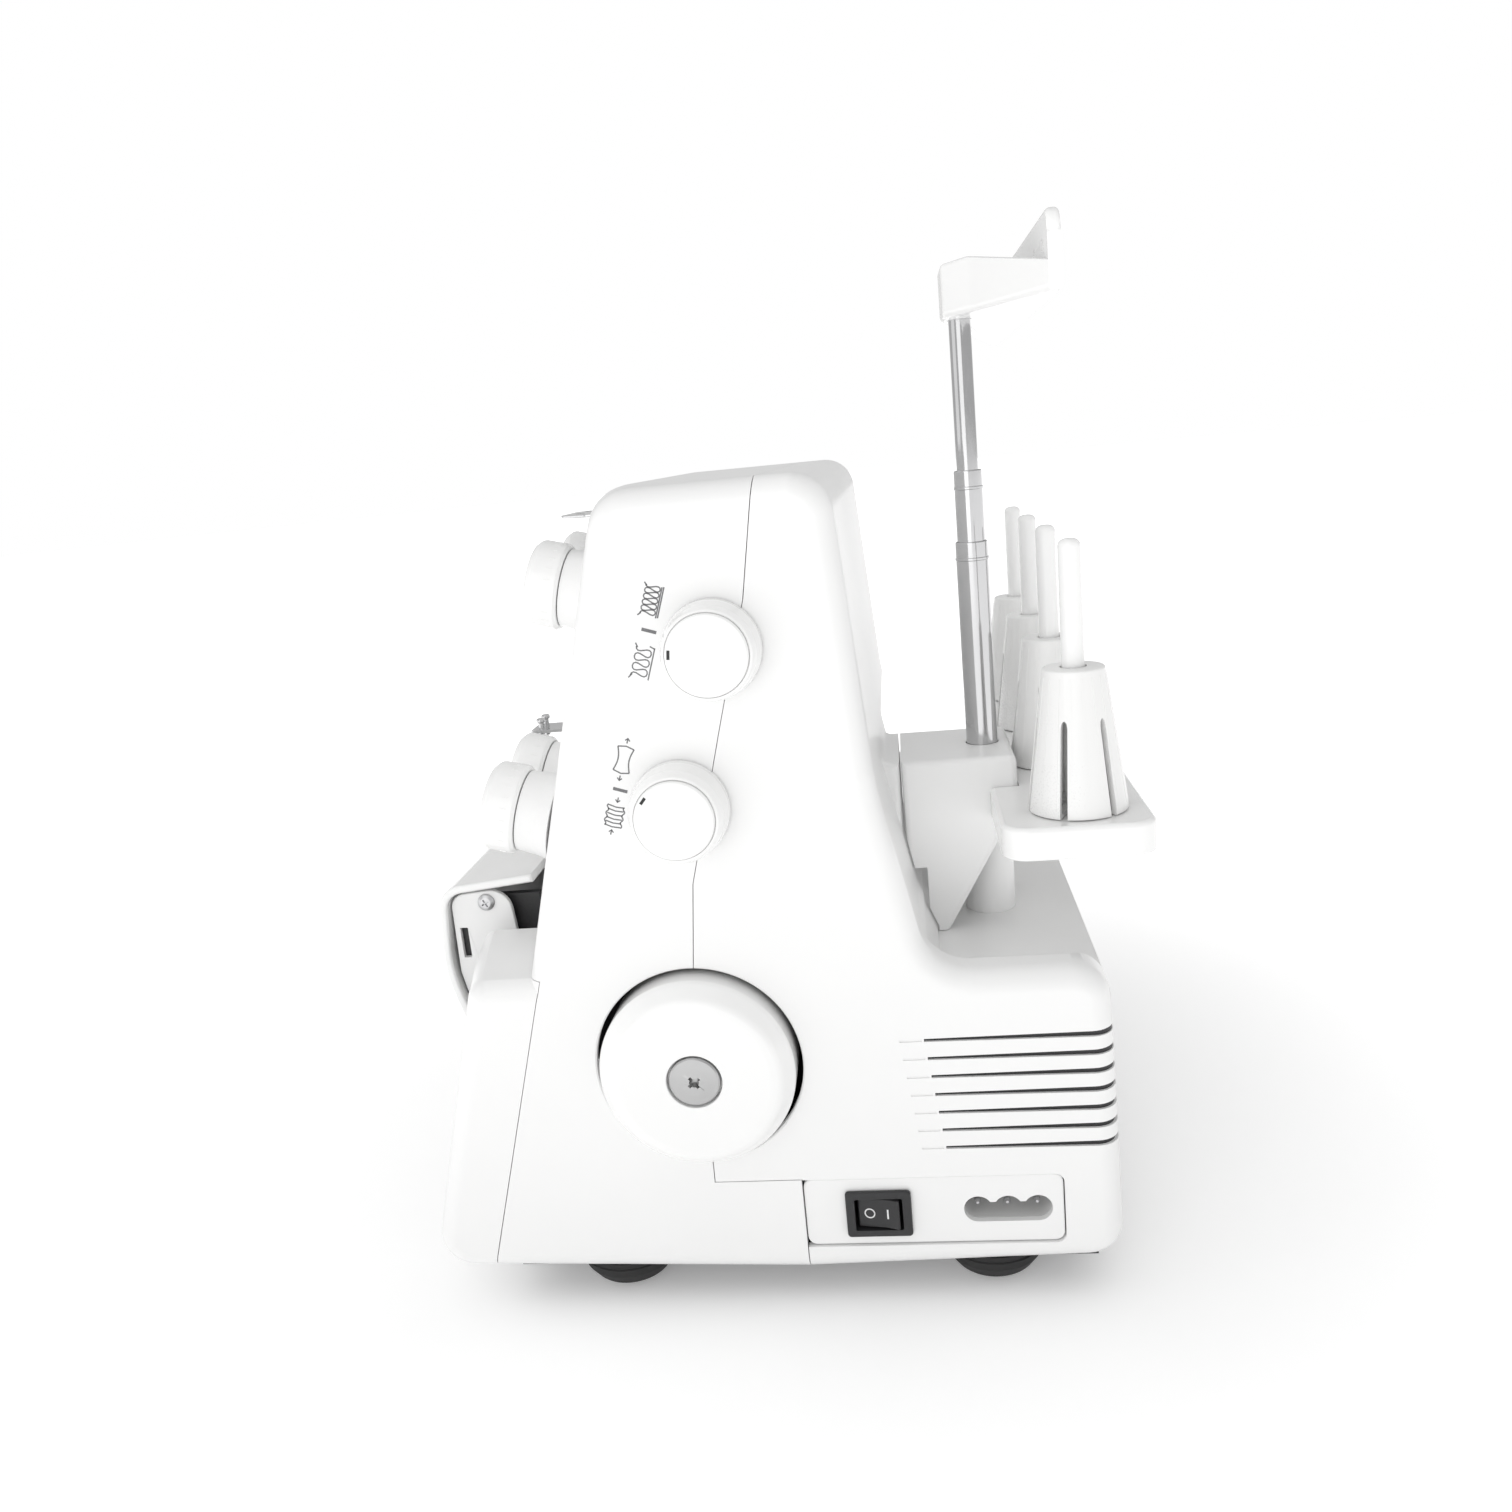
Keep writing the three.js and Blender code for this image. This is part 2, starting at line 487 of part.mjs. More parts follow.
// C-shaped casting: floor, two upright plates, and an arm of two shelves reaching over the needle.
function innerFrame() {
  const plates = join(
    box(-88, 92, -62, 36, 24.3, 29),
    box(14, 19, -47, 18, 28, 285),
    box(66, 71, -47, 18, 28, 285),
    box(14, 71, -46, 18, 281, 286),
    box(-76, 15, -54, 6, 200, 205),
    box(-76, 15, -48, 6, 262, 267),
    box(-76, -71, -48, 6, 200, 267),
    box(-48, 4, -46, -40, 28, 82),
    box(-71, -66, 4, 38, 205, 222),
    box(-66, 15, 1, 6, 205, 262),
  );
  const needleBores = [NEEDLE, PRESSER].map(({ x, y }) => bar(3 + GAP, [x, y, 190], [0, 0, 1], 100, 16));
  return cut(plates,
    bar(SHAFT.r + 1, [0, WHEEL.y, WHEEL.z], [1, 0, 0], 90),
    ...[LOWER_LOOPER, UPPER_LOOPER].map(({ x, z }) => bar(3.4, [x, -60, z], [0, 1, 0], 40, 16)),
    bar(2.9, [0, KNIFE.pivotY, KNIFE.pivotZ], [1, 0, 0], 30, 16),
    bar(3.4, [-80, LEVER.y, LEVER.z], [1, 0, 0], 20, 16),
    ...needleBores);
}

// ---------------------------------------------------------------- sewing parts
function clothPlate() {
  const y0 = frontY(0, BED_Z) + 1;
  const plate = planPrism(outline([[LEFT_X + 1, y0, 8], [COLUMN_X - GAP, y0], [COLUMN_X - GAP, 52], [LEFT_X + 1, 52, 8]]),
    BED_Z - 2.6, BED_Z);
  const opening = box(-80 - GAP, -46 + GAP, -68 - GAP, -6 + GAP, BED_Z - 5, BED_Z + 5);
  const notch = box(KNIFE.x - 11, KNIFE.x + 6, -100, -44, BED_Z - 5, BED_Z + 5);
  return cut(plate, opening, notch);
}

function needlePlate() {
  const plate = box(-80, -46, -68, -6, BED_Z - 2.6, BED_Z);
  const needleHole = box(NEEDLE.x - 3.2, NEEDLE.x + 3.2, NEEDLE.y - 2, NEEDLE.y + 2, BED_Z - 5, BED_Z + 5);
  const feedSlot = box(NEEDLE.x - 5.6, NEEDLE.x + 5.6, -40.5, -13.5, BED_Z - 5, BED_Z + 5);
  return cut(plate, needleHole, feedSlot);
}

function feedDog() {
  const teeth = Array.from({ length: 9 }, (_, i) => {
    const y = -37 + i * 2.4;
    return sidePrism([[y - 1.1, BED_Z - 0.4], [y + 1.1, BED_Z - 0.4], [y + 1, BED_Z + 0.7]]
      .map(([a, b]) => new THREE.Vector2(a, b)), NEEDLE.x - 5, NEEDLE.x + 5);
  });
  return join(box(NEEDLE.x - 5, NEEDLE.x + 5, -38, -16, BED_Z - 8, BED_Z - 0.2),
    box(NEEDLE.x - 3, NEEDLE.x + 3, -30, -22, BED_Z - 30, BED_Z - 7), ...teeth);
}

function lowerKnife() {
  return sidePrism(outline([[-66, BED_Z - 22], [-56, BED_Z - 22], [-54, BED_Z + 0.3], [-64, BED_Z + 0.3]]), KNIFE.x - 4.2, KNIFE.x - 1.2);
}

// Blade arm that rises in front of the needle, on a long spindle.
function upperKnife() {
  const { x, pivotY: y, pivotZ: z } = KNIFE;
  const arm = sidePrism(outline([[y + 5, z - 5, 4], [y + 4, z + 6, 4], [-47, BED_Z - 8], [-51, BED_Z + 9, 2], [-64, BED_Z + 9],
    [-62, BED_Z + 1], [-60, BED_Z - 14, 4], [y - 6, z - 6, 4]]), x - 0.8, x + 1.8);
  return join(arm, bar(2.5, [x, y, z], [1, 0, 0], 26 - x, 16));
}

// Looper: a hub on a spindle, an upright arm and a pointed blade to the left.
function looper({ x, y, z }, height, reach) {
  const arm = frontPrism(outline([[x - 6, z - 5, 4], [x + 6, z - 5, 4], [x + 4, z + height - 8, 3], [x - 2, z + height, 4],
    [x - reach, z + height + 3], [x - reach + 2, z + height - 1.5], [x - 6, z + height - 6, 4]]), y - 1.5, y + 1.5);
  return join(arm, bar(3, [x, y, z], [0, 1, 0], -36 - y, 16));
}

function presserBar() {
  return bar(3, [PRESSER.x, PRESSER.y, BED_Z + 17], [0, 0, 1], 112, 16);
}

function presserFoot() {
  const { x, y } = PRESSER;
  const sole = sidePrism(outline([[-64, BED_Z + 4], [-58, BED_Z + 1.2], [-6, BED_Z + 1.2], [-6, BED_Z + 3.2], [-56, BED_Z + 3.2]]), x - 9, x + 9);
  const slot = box(NEEDLE.x - 3.4, NEEDLE.x + 3.4, NEEDLE.y - 3, NEEDLE.y + 3, BED_Z, BED_Z + 8);
  const ankle = join(box(x - 3.5, x + 3.5, y - 5, y + 5, BED_Z + 2, BED_Z + 14), box(x - 5, x + 5, y - 5.5, y + 5.5, BED_Z + 10, BED_Z + 22));
  return cut(join(sole, ankle), slot, bar(3 + GAP, [x, y, BED_Z + 16.6], [0, 0, 1], 20, 16));
}

const needleBar = () => bar(3, [NEEDLE.x, NEEDLE.y, NEEDLE.tipZ + 34], [0, 0, 1], 100, 16);

function needleClamp() {
  const { x, y, tipZ } = NEEDLE;
  const body = box(x - 5, x + 5, y - 5, y + 5, tipZ + 27, tipZ + 42);
  return cut(body, bar(3 + GAP, [x, y, tipZ + 33.6], [0, 0, 1], 20, 16),
    ...[-1, 1].map((side) => bar(0.8 + GAP, [x + side * NEEDLE.spread, y, tipZ + 20], [0, 0, 1], 13, 12)));
}

function needle(side) {
  const { x, y, tipZ, spread } = NEEDLE;
  return turned([[0, 0], [0.5, 6], [0.55, 16], [0.8, 19], [0.8, 32], [0, 32]], [x + side * spread, y, tipZ], [0, 0, 1], 12);
}

// Lever under the head, behind the foot: it swings back to lift the bar.
function presserLever() {
  const { y, z } = LEVER;
  const arm = sidePrism(outline([[y - 5, z + 5, 4], [y + 5, z + 5, 4], [y + 5, z - 8, 4], [26, 177, 4], [31, 171.5, 2.5],
    [29.5, 167.5, 2], [16, 167, 3], [17.5, 176, 4]]), PRESSER.x - 3.5, PRESSER.x + 3.5);
  return join(arm, bar(3, [PRESSER.x - 13, y, z], [1, 0, 0], 20, 16));
}

// ---------------------------------------------------------------- thread guides on the front
function topThreadGuide() {
  const y = frontY(20, 291) - 0.5;
  const plate = planPrism(outline([[0, y], [0, y - 8, 4], [8, y - 20, 5], [36, y - 20, 5], [44.5, y - 8, 4], [44.5, y]]), 289.4, 290.6);
  const holes = [14, 30].map((x) => bar(2, [x, y - 13, 280], [0, 0, 1], 20, 12));
  const tab = box(4, 40, y - 1.2, y, 282, 290);
  return cut(join(plate, tab.subtract(box(0, 50, frontY(20, 282) - 0.4, 0, 270, 295))), ...holes);
}

function looperThreadGuide() {
  const y = frontY(18, 199) - 0.6;
  const plate = box(10, 24, y - 24, y, 199, 200.4);
  const posts = [13, 21].map((x) => bar(1.2, [x, y - 20, 196], [0, 0, 1], 9, 10));
  return join(plate, ...posts);
}

// ---------------------------------------------------------------- looper cover and extension table
// Path of the cover's skin in (Y, Z), from the rear edge of its top flange down to the hinge.
function coverPath() {
  return openOutline([[-95, 150], [-133.6, 146, 9], [-136, 112, 60], [-126, 76, 60], [COVER.pivotY - 3, COVER.pivotZ + 6]]);
}

function looperCover() {
  const { x0, x1, pivotY, pivotZ, thick } = COVER;
  const skin = sidePrism(strip(coverPath(), thick), x0, x1);
  const knuckles = [[-90, -70], [40, 60]].map(([a, b]) =>
    join(tube(5.2, 3.3, [a, pivotY, pivotZ], [1, 0, 0], b - a, 20),
      box(a, b, pivotY - 4.5, pivotY - 1.5, pivotZ + 3.4, pivotZ + 9)));
  const leftWall = sidePrism([...coverPath(), new THREE.Vector2(-100, 62), new THREE.Vector2(-95, 120)].reverse(), x0, x0 + WALL);
  return join(skin, leftWall, ...knuckles);
}

function coverEndPlate() {
  const plate = sidePrism(outline([[-131.6, 143.2, 6], [-107, 145.4, 9], [-105, 124, 10], [-98.5, 112, 8], [-97, 101], [-104, 84],
    [-113, 66], [-120, 72], [-128.6, 92], [-132, 110]]), COVER.x1 - 6, COVER.x1 - 3.6);
  const slot = box(COVER.x1 - 10, COVER.x1, -129.4, -126.2, 116, 129);
  const screw = bar(3.6, [COVER.x1 - 4, -116.5, 139.8], [1, 0, 0], 2.2, 16);
  return join(cut(plate, slot), screw);
}

// Sliding hinge rod under the looper cover, on two feet that run in the floor.
function coverCarriage() {
  const { pivotY: y, pivotZ: z } = COVER;
  const rod = bar(2.9, [-100, y, z], [1, 0, 0], 168, 16);
  const legs = [[-62, -50], [20, 32]].map(([a, b]) => box(a, b, y - 1.5, y + 8, 19.4, z + 1.5));
  return join(rod, ...legs);
}

function extensionTable() {
  const { x0, x1, y0, y1, z0 } = TABLE;
  const plan = (by) => outline([[x0 + by, y0 + by, 20], [x1 - (by ? 2.5 : 0), y0 + by, 3], [x1 - (by ? 2.5 : 0), y1 - by, 3],
    [x0 + by, y1 - by, 20]]);
  const slab = cut(planPrism(plan(0), z0, BED_Z - 0.2), planPrism(plan(2.5), z0 - 1, BED_Z - 3.2));
  const tongues = [-61.5, 18.5].map((y) => box(x1 - 3, x1 + 14, y, y + 13, z0 + 0.4, z0 + 5.6));
  return join(slab, ...tongues);
}

// ---------------------------------------------------------------- thread stand
function standBracket() {
  const { x0, x1, y1, z } = SHELF;
  const y0 = SHELF.y0 + GAP;
  const side = sidePrism(outline([[y0, z], [y0, 124], [61, 118.4], [69.5, 117.6, 1.5], [98.6, 168, 2], [y1, 172], [y1, z, 3]]), x0, x1);
  const pocket = box(x0 + WALL, x1 - WALL, 20, y1 + 5, 100, z - 4);
  const notch = box(x0 - 1, x1 + 1, y0 - 1, y0 + 3.8, 100, 146.5);
  const clearance = envelope.translate([0, 2 * GAP, GAP]);
  const socket = bar(POLE.holder, [POLE.x, POLE.y, 119.4], [0, 0, 1], z - 120, 24);
  const web = box(POLE.x - 2, POLE.x + 2, y0, POLE.y - 6, 160, z - 3);
  const bore = bar(POLE.r[0] + GAP, [POLE.x, POLE.y, 126], [0, 0, 1], 100, 20);
  return cut(join(cut(side, pocket, notch, clearance), web, socket), bore);
}

function spoolStand() {
  const { x0, x1, y0, y1, z0, z1 } = STAND;
  const plan = (by) => outline([[x0 + by, y0 + by, 9], [x1 - by, y0 + by, 9], [x1 - by, y1 - by, 9], [x0 + by, y1 - by, 9]]);
  const notch = (by) => box(SHELF.x0 - GAP - by, SHELF.x1 + GAP + by, 80, SHELF.y1 + GAP + by, 150, 200);
  const slab = cut(planPrism(plan(0), z0, z1), notch(0));
  return cut(slab, cut(planPrism(plan(WALL), z0 - 2, z1 - WALL), notch(WALL)));
}

function spoolPin(x) {
  const tip = PINS.topZ - STAND.z1 - GAP;
  return turned([[0, 0], [5.4, 0], [5.4, 1], [PINS.r, 1.4], [PINS.r - 0.3, tip - 3], [PINS.r - 2, tip], [0, tip]],
    [x, PINS.y, STAND.z1 + GAP], [0, 0, 1], 14);
}

// Hollow cone with six slots that steadies a cone of thread on its pin.
function coneHolder(x) {
  const { base, top, height } = CONE;
  const z = STAND.z1 + GAP;
  const bore = PINS.r + 2.1;
  const shell = turned([[bore, 0], [base, 0], [base, 2], [top, height], [PINS.r + 0.5, height], [PINS.r + 0.5, height - 2.4],
    [top - 2, height - 2.4], [base - 2.4, 2.2], [bore, 2.2], [bore, 0]], [x, PINS.y, z], [0, 0, 1], 12);
  const slots = [0, 60, 120].map((angle) =>
    box(-30, 30, -1.2, 1.2, 8, height - 8).rotate([0, 0, angle]).translate([x, PINS.y, z]));
  return cut(shell, ...slots);
}

function poleLower() {
  return tube(POLE.r[0], POLE.r[0] - POLE.wall, [POLE.x, POLE.y, 126.4], [0, 0, 1], POLE.stepZ[0] - 126.4, 20);
}
const poleMiddle = () =>
  tube(POLE.r[1], POLE.r[1] - POLE.wall, [POLE.x, POLE.y, 156], [0, 0, 1], POLE.stepZ[1] - 156, 20);
const poleUpper = () =>
  tube(POLE.r[2], POLE.r[2] - 0.7, [POLE.x, POLE.y, 210], [0, 0, 1], TREE.z1 - 4 - 210, 20);

// Thread tree: boss on the pole, oblique arms to a long rear bar, thin floor, thread holes.
function threadTree() {
  const { x0, x1, bossX, y0, barY, y1, z0, z1, barZ } = TREE;
  const corners = [[x0, y1], [x0, barY], [bossX[0], y0, 4], [bossX[1], y0, 4], [x1, barY], [x1, y1]];
  const shape = outline(corners);
  const tray = cut(planPrism(shape, z0, z1), planPrism(inset(shape, 2.2), z0 + 2.2, z1 + 5));
  const railBar = box(x0, x1, barY, y1, z0, barZ);
  const boss = bar(7.4, [POLE.x, POLE.y + 1.4, z0], [0, 0, 1], z1 - z0 - 1.4, 20);
  // The arms' skirts get lower towards both ends.
  const slopes = [[x0 - 1, bossX[0] - 12], [x1 + 1, bossX[1] + 12]].map(([end, start]) =>
    frontPrism([[start, z1 + 1], [start, z1], [end, z0 + 5], [end, z1 + 1]].map(([x, z]) => new THREE.Vector2(x, z)),
      y0 - 5, barY));
  const holes = [-100, -60, -20, 20, 84, 108].map((x) => bar(2, [x, barY - 8, z0 + 14], [0, 1, 0], 20, 10));
  const bore = bar(POLE.r[2] + GAP, [POLE.x, POLE.y, z0 - 5], [0, 0, 1], z1 - 3.6 - z0 + 5, 20);
  return cut(join(cut(tray, ...slopes), railBar, boss), bore, ...holes);
}

// ---------------------------------------------------------------- assembly
add("base_tray", baseTray(), black);
add("front_housing", frontHousing(), white);
add("rear_housing", rearHousing(), white);
add("front_corner_cover", apron(), white);
add("power_panel", powerPanel(), white);
add("switch_bezel", switchBezel(), black);
add("power_rocker", powerRocker(), black);
add("foot_control_socket", footControlSocket(), white);
add("foot_front_left", foot(FEET.x[0], FEET.y[0]), rubber);
add("foot_front_right", foot(FEET.x[1], FEET.y[0]), rubber);
add("foot_rear_left", foot(FEET.x[0], FEET.y[1]), rubber);
add("foot_rear_right", foot(FEET.x[1], FEET.y[1]), rubber);

add("handwheel", handwheel(), white);
add("handwheel_screw", handwheelScrew(), steel);
add("main_shaft", mainShaft(), steel);
add("drive_pulley", drivePulley(), black);
add("motor", motor(), casting);
add("motor_pulley", motorPulley(), steel);
add("drive_belt", driveBelt(), rubber);
add("inner_frame", innerFrame(), casting);

add("stitch_length_knob", sideKnob(LENGTH_KNOB, 0), white);
add("differential_feed_knob", sideKnob(FEED_KNOB, 0.5), white);
["left_needle_dial", "right_needle_dial", "upper_looper_dial", "lower_looper_dial"]
  .forEach((name, i) => add(name, tensionDial(...DIALS[i]), white));

add("cloth_plate", clothPlate(), steel);
add("needle_plate", needlePlate(), steel);
add("feed_dog", feedDog(), steel);
add("lower_knife", lowerKnife(), steel);
add("upper_knife", upperKnife(), steel);
add("lower_looper", looper(LOWER_LOOPER, 62, 26), chrome);
add("upper_looper", looper(UPPER_LOOPER, 58, 24), chrome);
add("presser_bar", presserBar(), steel);
add("presser_foot", presserFoot(), chrome);
add("presser_lever", presserLever(), white);
add("needle_bar", needleBar(), steel);
add("needle_clamp", needleClamp(), steel);
add("left_needle", needle(-1), steel);
add("right_needle", needle(1), steel);
add("top_thread_guide", topThreadGuide(), chrome);
add("looper_thread_guide", looperThreadGuide(), chrome);

add("cover_carriage", coverCarriage(), black);
add("looper_cover", looperCover(), white);
add("cover_end_plate", coverEndPlate(), white);
add("extension_table", extensionTable(), white);

add("stand_bracket", standBracket(), white);
add("spool_stand", spoolStand(), white);
PINS.x.forEach((x, i) => add(`spool_pin_${i + 1}`, spoolPin(x), white));
PINS.x.forEach((x, i) => add(`cone_holder_${i + 1}`, coneHolder(x), white));
add("pole_lower_tube", poleLower(), chrome);
add("pole_middle_tube", poleMiddle(), chrome);
add("pole_upper_tube", poleUpper(), chrome);
add("thread_tree", threadTree(), white);

export default machine;
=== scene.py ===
"""Moulded pieces, fittings and finishes of a four-thread serger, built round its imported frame.

Lengths in the classes are millimetres in the frame's own directions: the operator sits at -Y, +X is
the handwheel side and +Z is up. Each finished piece is brought to metres when it is placed.
"""

import logging
import math
from dataclasses import dataclass
from enum import Enum
from typing import Callable, Sequence

import bmesh
import bpy
from mathutils import Matrix, Vector


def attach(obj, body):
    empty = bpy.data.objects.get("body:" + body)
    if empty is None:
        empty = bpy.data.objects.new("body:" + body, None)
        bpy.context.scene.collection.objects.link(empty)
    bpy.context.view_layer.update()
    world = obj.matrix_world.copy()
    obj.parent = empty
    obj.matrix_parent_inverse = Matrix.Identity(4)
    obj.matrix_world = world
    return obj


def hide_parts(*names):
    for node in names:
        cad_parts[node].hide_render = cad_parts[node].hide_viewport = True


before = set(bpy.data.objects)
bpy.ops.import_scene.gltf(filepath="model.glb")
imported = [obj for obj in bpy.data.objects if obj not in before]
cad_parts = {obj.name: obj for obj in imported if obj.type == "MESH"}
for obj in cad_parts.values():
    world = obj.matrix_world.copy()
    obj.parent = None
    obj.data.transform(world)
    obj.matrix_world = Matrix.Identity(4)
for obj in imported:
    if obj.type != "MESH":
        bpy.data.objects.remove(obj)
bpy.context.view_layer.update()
log = logging.getLogger("serger")

Corner = tuple[float, ...]
Colour = tuple[float, float, float]

# ---------------------------------------------------------------- sizes shared by several pieces
SIDE_X = 139.5  # outer face of the right side
LEFT_X = -110.5  # outer face of the left side
WALL = 3.0  # moulded shell thickness
GAP = 0.35  # between pieces that touch
EDGE_R = 8.0  # rounding round both sides
BASE_Z = 14.0  # underside of the machine
DECK_Z = 128.5  # rim of the rear deck
BED_Z = 150.0  # top of the cloth plate
HEAD_Z = 193.0  # underside of the head
COLUMN_X = 5.0  # left face of the column
FRONT_Y, FRONT_Z, FRONT_SLOPE, BULGE = -79.9, 136.5, 0.2617, 14.0
APRON_X, APRON_TOP, SILL_Z = 84.8, 133.3, 36.0
SEAM_TOP_Y, SEAM_FOOT_Y = -75.8, -109.0  # joint between lower front and column
WHEEL_Y, WHEEL_Z, WHEEL_WELL = -22.0, 98.5, 37.2
LENGTH_KNOB, FEED_KNOB = (-1.6, 247.5), (-18.0, 194.0)
DIALS = ((-5.5, 259.5), (44.5, 259.5), (34.5, 179.0), (84.5, 179.0))
DIAL_TILT = math.atan(FRONT_SLOPE)
PANEL_Y, PANEL_Z = (10.6, 103.5), (24.4, 51.3)
PANEL_X = SIDE_X - 0.8
SOCKET_Y, SOCKET_Z, SOCKET_PITCH, SOCKET_R = 83.8, 37.7, 10.6, 5.1
SHELF_X, SHELF_Y, SHELF_Z = (25.5, 77.5), (55.9, 99.5), 188.8
POLE_X, POLE_Y = 51.5, 88.5
PIN_Y = 117.0
NEEDLE_X = -57.0


class Body(Enum):
    """The frame's bodies that new pieces ride on."""

    MACHINE = "machine"
    WHEEL = "wheel"
    LENGTH = "length_knob"
    FEED = "feed_knob"
    ROCKER = "rocker"
    COVER = "cover"
    TABLE = "table"
    POLE_MIDDLE = "pole_middle"
    POLE_UPPER = "pole_upper"
    TREE = "tree"


class Slot(Enum):
    """The record's material slots."""

    WHITE = "white_plastic"
    BLACK = "black_plastic"
    RUBBER = "rubber"
    STEEL = "steel"
    CHROME = "chrome"
    CASTING = "casting"


# ---------------------------------------------------------------- outlines
def arc(middle: Vector, start: Vector, turn: float, steps: int) -> list[Vector]:
    """Points of an arc.

    Args:
        middle: Centre of the arc.
        start: From the centre to the first point.
        turn: Angle covered, in radians.
        steps: Number of chords.

    Returns:
        The arc's points, both ends included.
    """
    points = []
    for step in range(steps + 1):
        c, s = math.cos(turn * step / steps), math.sin(turn * step / steps)
        points.append(middle + Vector((start.x * c - start.y * s, start.x * s + start.y * c)))
    return points


def outline(corners: Sequence[Corner], steps: int = 8, closed: bool = True) -> list[Vector]:
    """Rounds the corners of a polygon or of an open path.

    Args:
        corners: Points (a, b) or (a, b, radius).
        steps: Chords in each rounded corner.
        closed: Whether the last corner runs on to the first.

    Returns:
        The rounded outline.
    """
    points: list[Vector] = []
    count = len(corners)
    for i, corner in enumerate(corners):
        here = Vector(corner[:2])
        radius = corner[2] if len(corner) > 2 else 0.0
        if not radius or (not closed and i in (0, count - 1)):
            points.append(here)
            continue
        before = (Vector(corners[i - 1][:2]) - here).normalized()
        after = (Vector(corners[(i + 1) % count][:2]) - here).normalized()
        half = math.acos(max(-1.0, min(1.0, before.dot(after)))) / 2
        middle = here + (before + after).normalized() * (radius / math.sin(half))
        start = here + before * (radius / math.tan(half)) - middle
        end = here + after * (radius / math.tan(half)) - middle
        turn = math.atan2(start.x * end.y - start.y * end.x, start.dot(end))
        points.extend(arc(middle, start, turn, steps))
    return points


def inset(points: Sequence[Vector], by: float) -> list[Vector]:
    """Moves an anticlockwise outline inwards.

    Args:
        points: The outline.
        by: Distance, negative for outwards.

    Returns:
        The moved outline.
    """
    moved = []
    for i, point in enumerate(points):
        before = (point - points[i - 1]).normalized()
        after = (points[(i + 1) % len(points)] - point).normalized()
        inward = Vector((-before.y - after.y, before.x + after.x)).normalized()
        lean = max(0.5, inward.dot(Vector((-before.y, before.x))))
        moved.append(point + inward * (by / lean))
    return moved


def anticlockwise(points: Sequence[Vector]) -> list[Vector]:
    """The same outline, running anticlockwise."""
    area = sum(points[i - 1].x * p.y - p.x * points[i - 1].y for i, p in enumerate(points))
    return list(points) if area > 0 else list(reversed(points))


def strip(path: Sequence[Vector], thickness: float) -> list[Vector]:
    """Closes an open path into an outline of even thickness.

    Args:
        path: The middle line.
        thickness: Width of the strip.

    Returns:
        The outline round the strip.
    """
    sides: list[list[Vector]] = []
    for sign in (1, -1):
        side = []
        for i, point in enumerate(path):
            along = (path[min(i + 1, len(path) - 1)] - path[max(i - 1, 0)]).normalized()
            side.append(point + Vector((-along.y, along.x)) * (sign * thickness / 2))
        sides.append(side)
    return anticlockwise(sides[0] + sides[1][::-1])


# ---------------------------------------------------------------- solids
class Solid:
    """A closed mesh in millimetres: + joins, - cuts and & keeps what two share."""

    def __init__(self, mesh: bpy.types.Mesh) -> None:
        """Keeps the mesh that holds the shape."""
        self.mesh = mesh

    @classmethod
    def skin(cls, rings: Sequence[Sequence[Vector]], hollow: bool = False) -> "Solid":
        """Makes a closed skin through rings of equal length.

        Args:
            rings: Points of each ring; a ring of equal points becomes a pole.
            hollow: Whether the last ring runs on to the first, as in a tube.

        Returns:
            The solid, with its faces outwards.
        """
        build = bmesh.new()
        rows = [[build.verts.new(p) for p in ring] for ring in rings]
        count = len(rows[0])
        pairs = list(zip(rows, rows[1:])) + ([(rows[-1], rows[0])] if hollow else [])
        for low, high in pairs:
            for i in range(count):
                j = (i + 1) % count
                build.faces.new((low[i], low[j], high[j], high[i]))
        if not hollow:
            build.faces.new(rows[0][::-1])
            build.faces.new(rows[-1])
        bmesh.ops.remove_doubles(build, verts=build.verts, dist=1e-4)
        bmesh.ops.dissolve_degenerate(build, edges=build.edges, dist=1e-5)
        bmesh.ops.recalc_face_normals(build, faces=build.faces)
        if build.calc_volume(signed=True) < 0:
            bmesh.ops.reverse_faces(build, faces=build.faces)
        mesh = bpy.data.meshes.new("solid")
        build.to_mesh(mesh)
        build.free()
        return cls(mesh)

    def _combine(self, other: "Solid", operation: str) -> "Solid":
        """Works out one Boolean operation with another solid."""
        body = bpy.data.objects.new("body", self.mesh)
        tool = bpy.data.objects.new("tool", other.mesh)
        for item in (body, tool):
            bpy.context.scene.collection.objects.link(item)
        modifier = body.modifiers.new("combine", "BOOLEAN")
        modifier.solver, modifier.operation, modifier.object = "MANIFOLD", operation, tool
        result = plain_mesh(body)
        for item in (body, tool):
            bpy.data.objects.remove(item)
        if not result.polygons:
            raise ValueError(f"nothing is left after {operation}")
        return Solid(result)

    def __add__(self, other: "Solid") -> "Solid":
        """Both solids as one."""
        return self._combine(other, "UNION")

    def __sub__(self, other: "Solid") -> "Solid":
        """This solid without the other."""
        return self._combine(other, "DIFFERENCE")

    def __and__(self, other: "Solid") -> "Solid":
        """What both solids share."""
        return self._combine(other, "INTERSECT")

    def moved(self, x: float = 0.0, y: float = 0.0, z: float = 0.0) -> "Solid":
        """A copy of the solid, shifted."""
        return self.placed(Matrix.Translation((x, y, z)))

    def placed(self, where: Matrix) -> "Solid":
        """A copy of the solid under a turn or shift."""
        mesh = self.mesh.copy()
        mesh.transform(where)
        return Solid(mesh)


def plain_mesh(item: bpy.types.Object) -> bpy.types.Mesh:
    """The object's mesh with its modifiers worked in."""
    bpy.context.view_layer.update()
    graph = bpy.context.evaluated_depsgraph_get()
    return bpy.data.meshes.new_from_object(item.evaluated_get(graph))


Lift = Callable[[Vector, float], Vector]


def on_side(point: Vector, depth: float) -> Vector:
    """Puts a (Y, Z) point at X = depth."""
    return Vector((depth, point.x, point.y))


def on_front(point: Vector, depth: float) -> Vector:
    """Puts an (X, Z) point at Y = depth."""
    return Vector((point.x, depth, point.y))


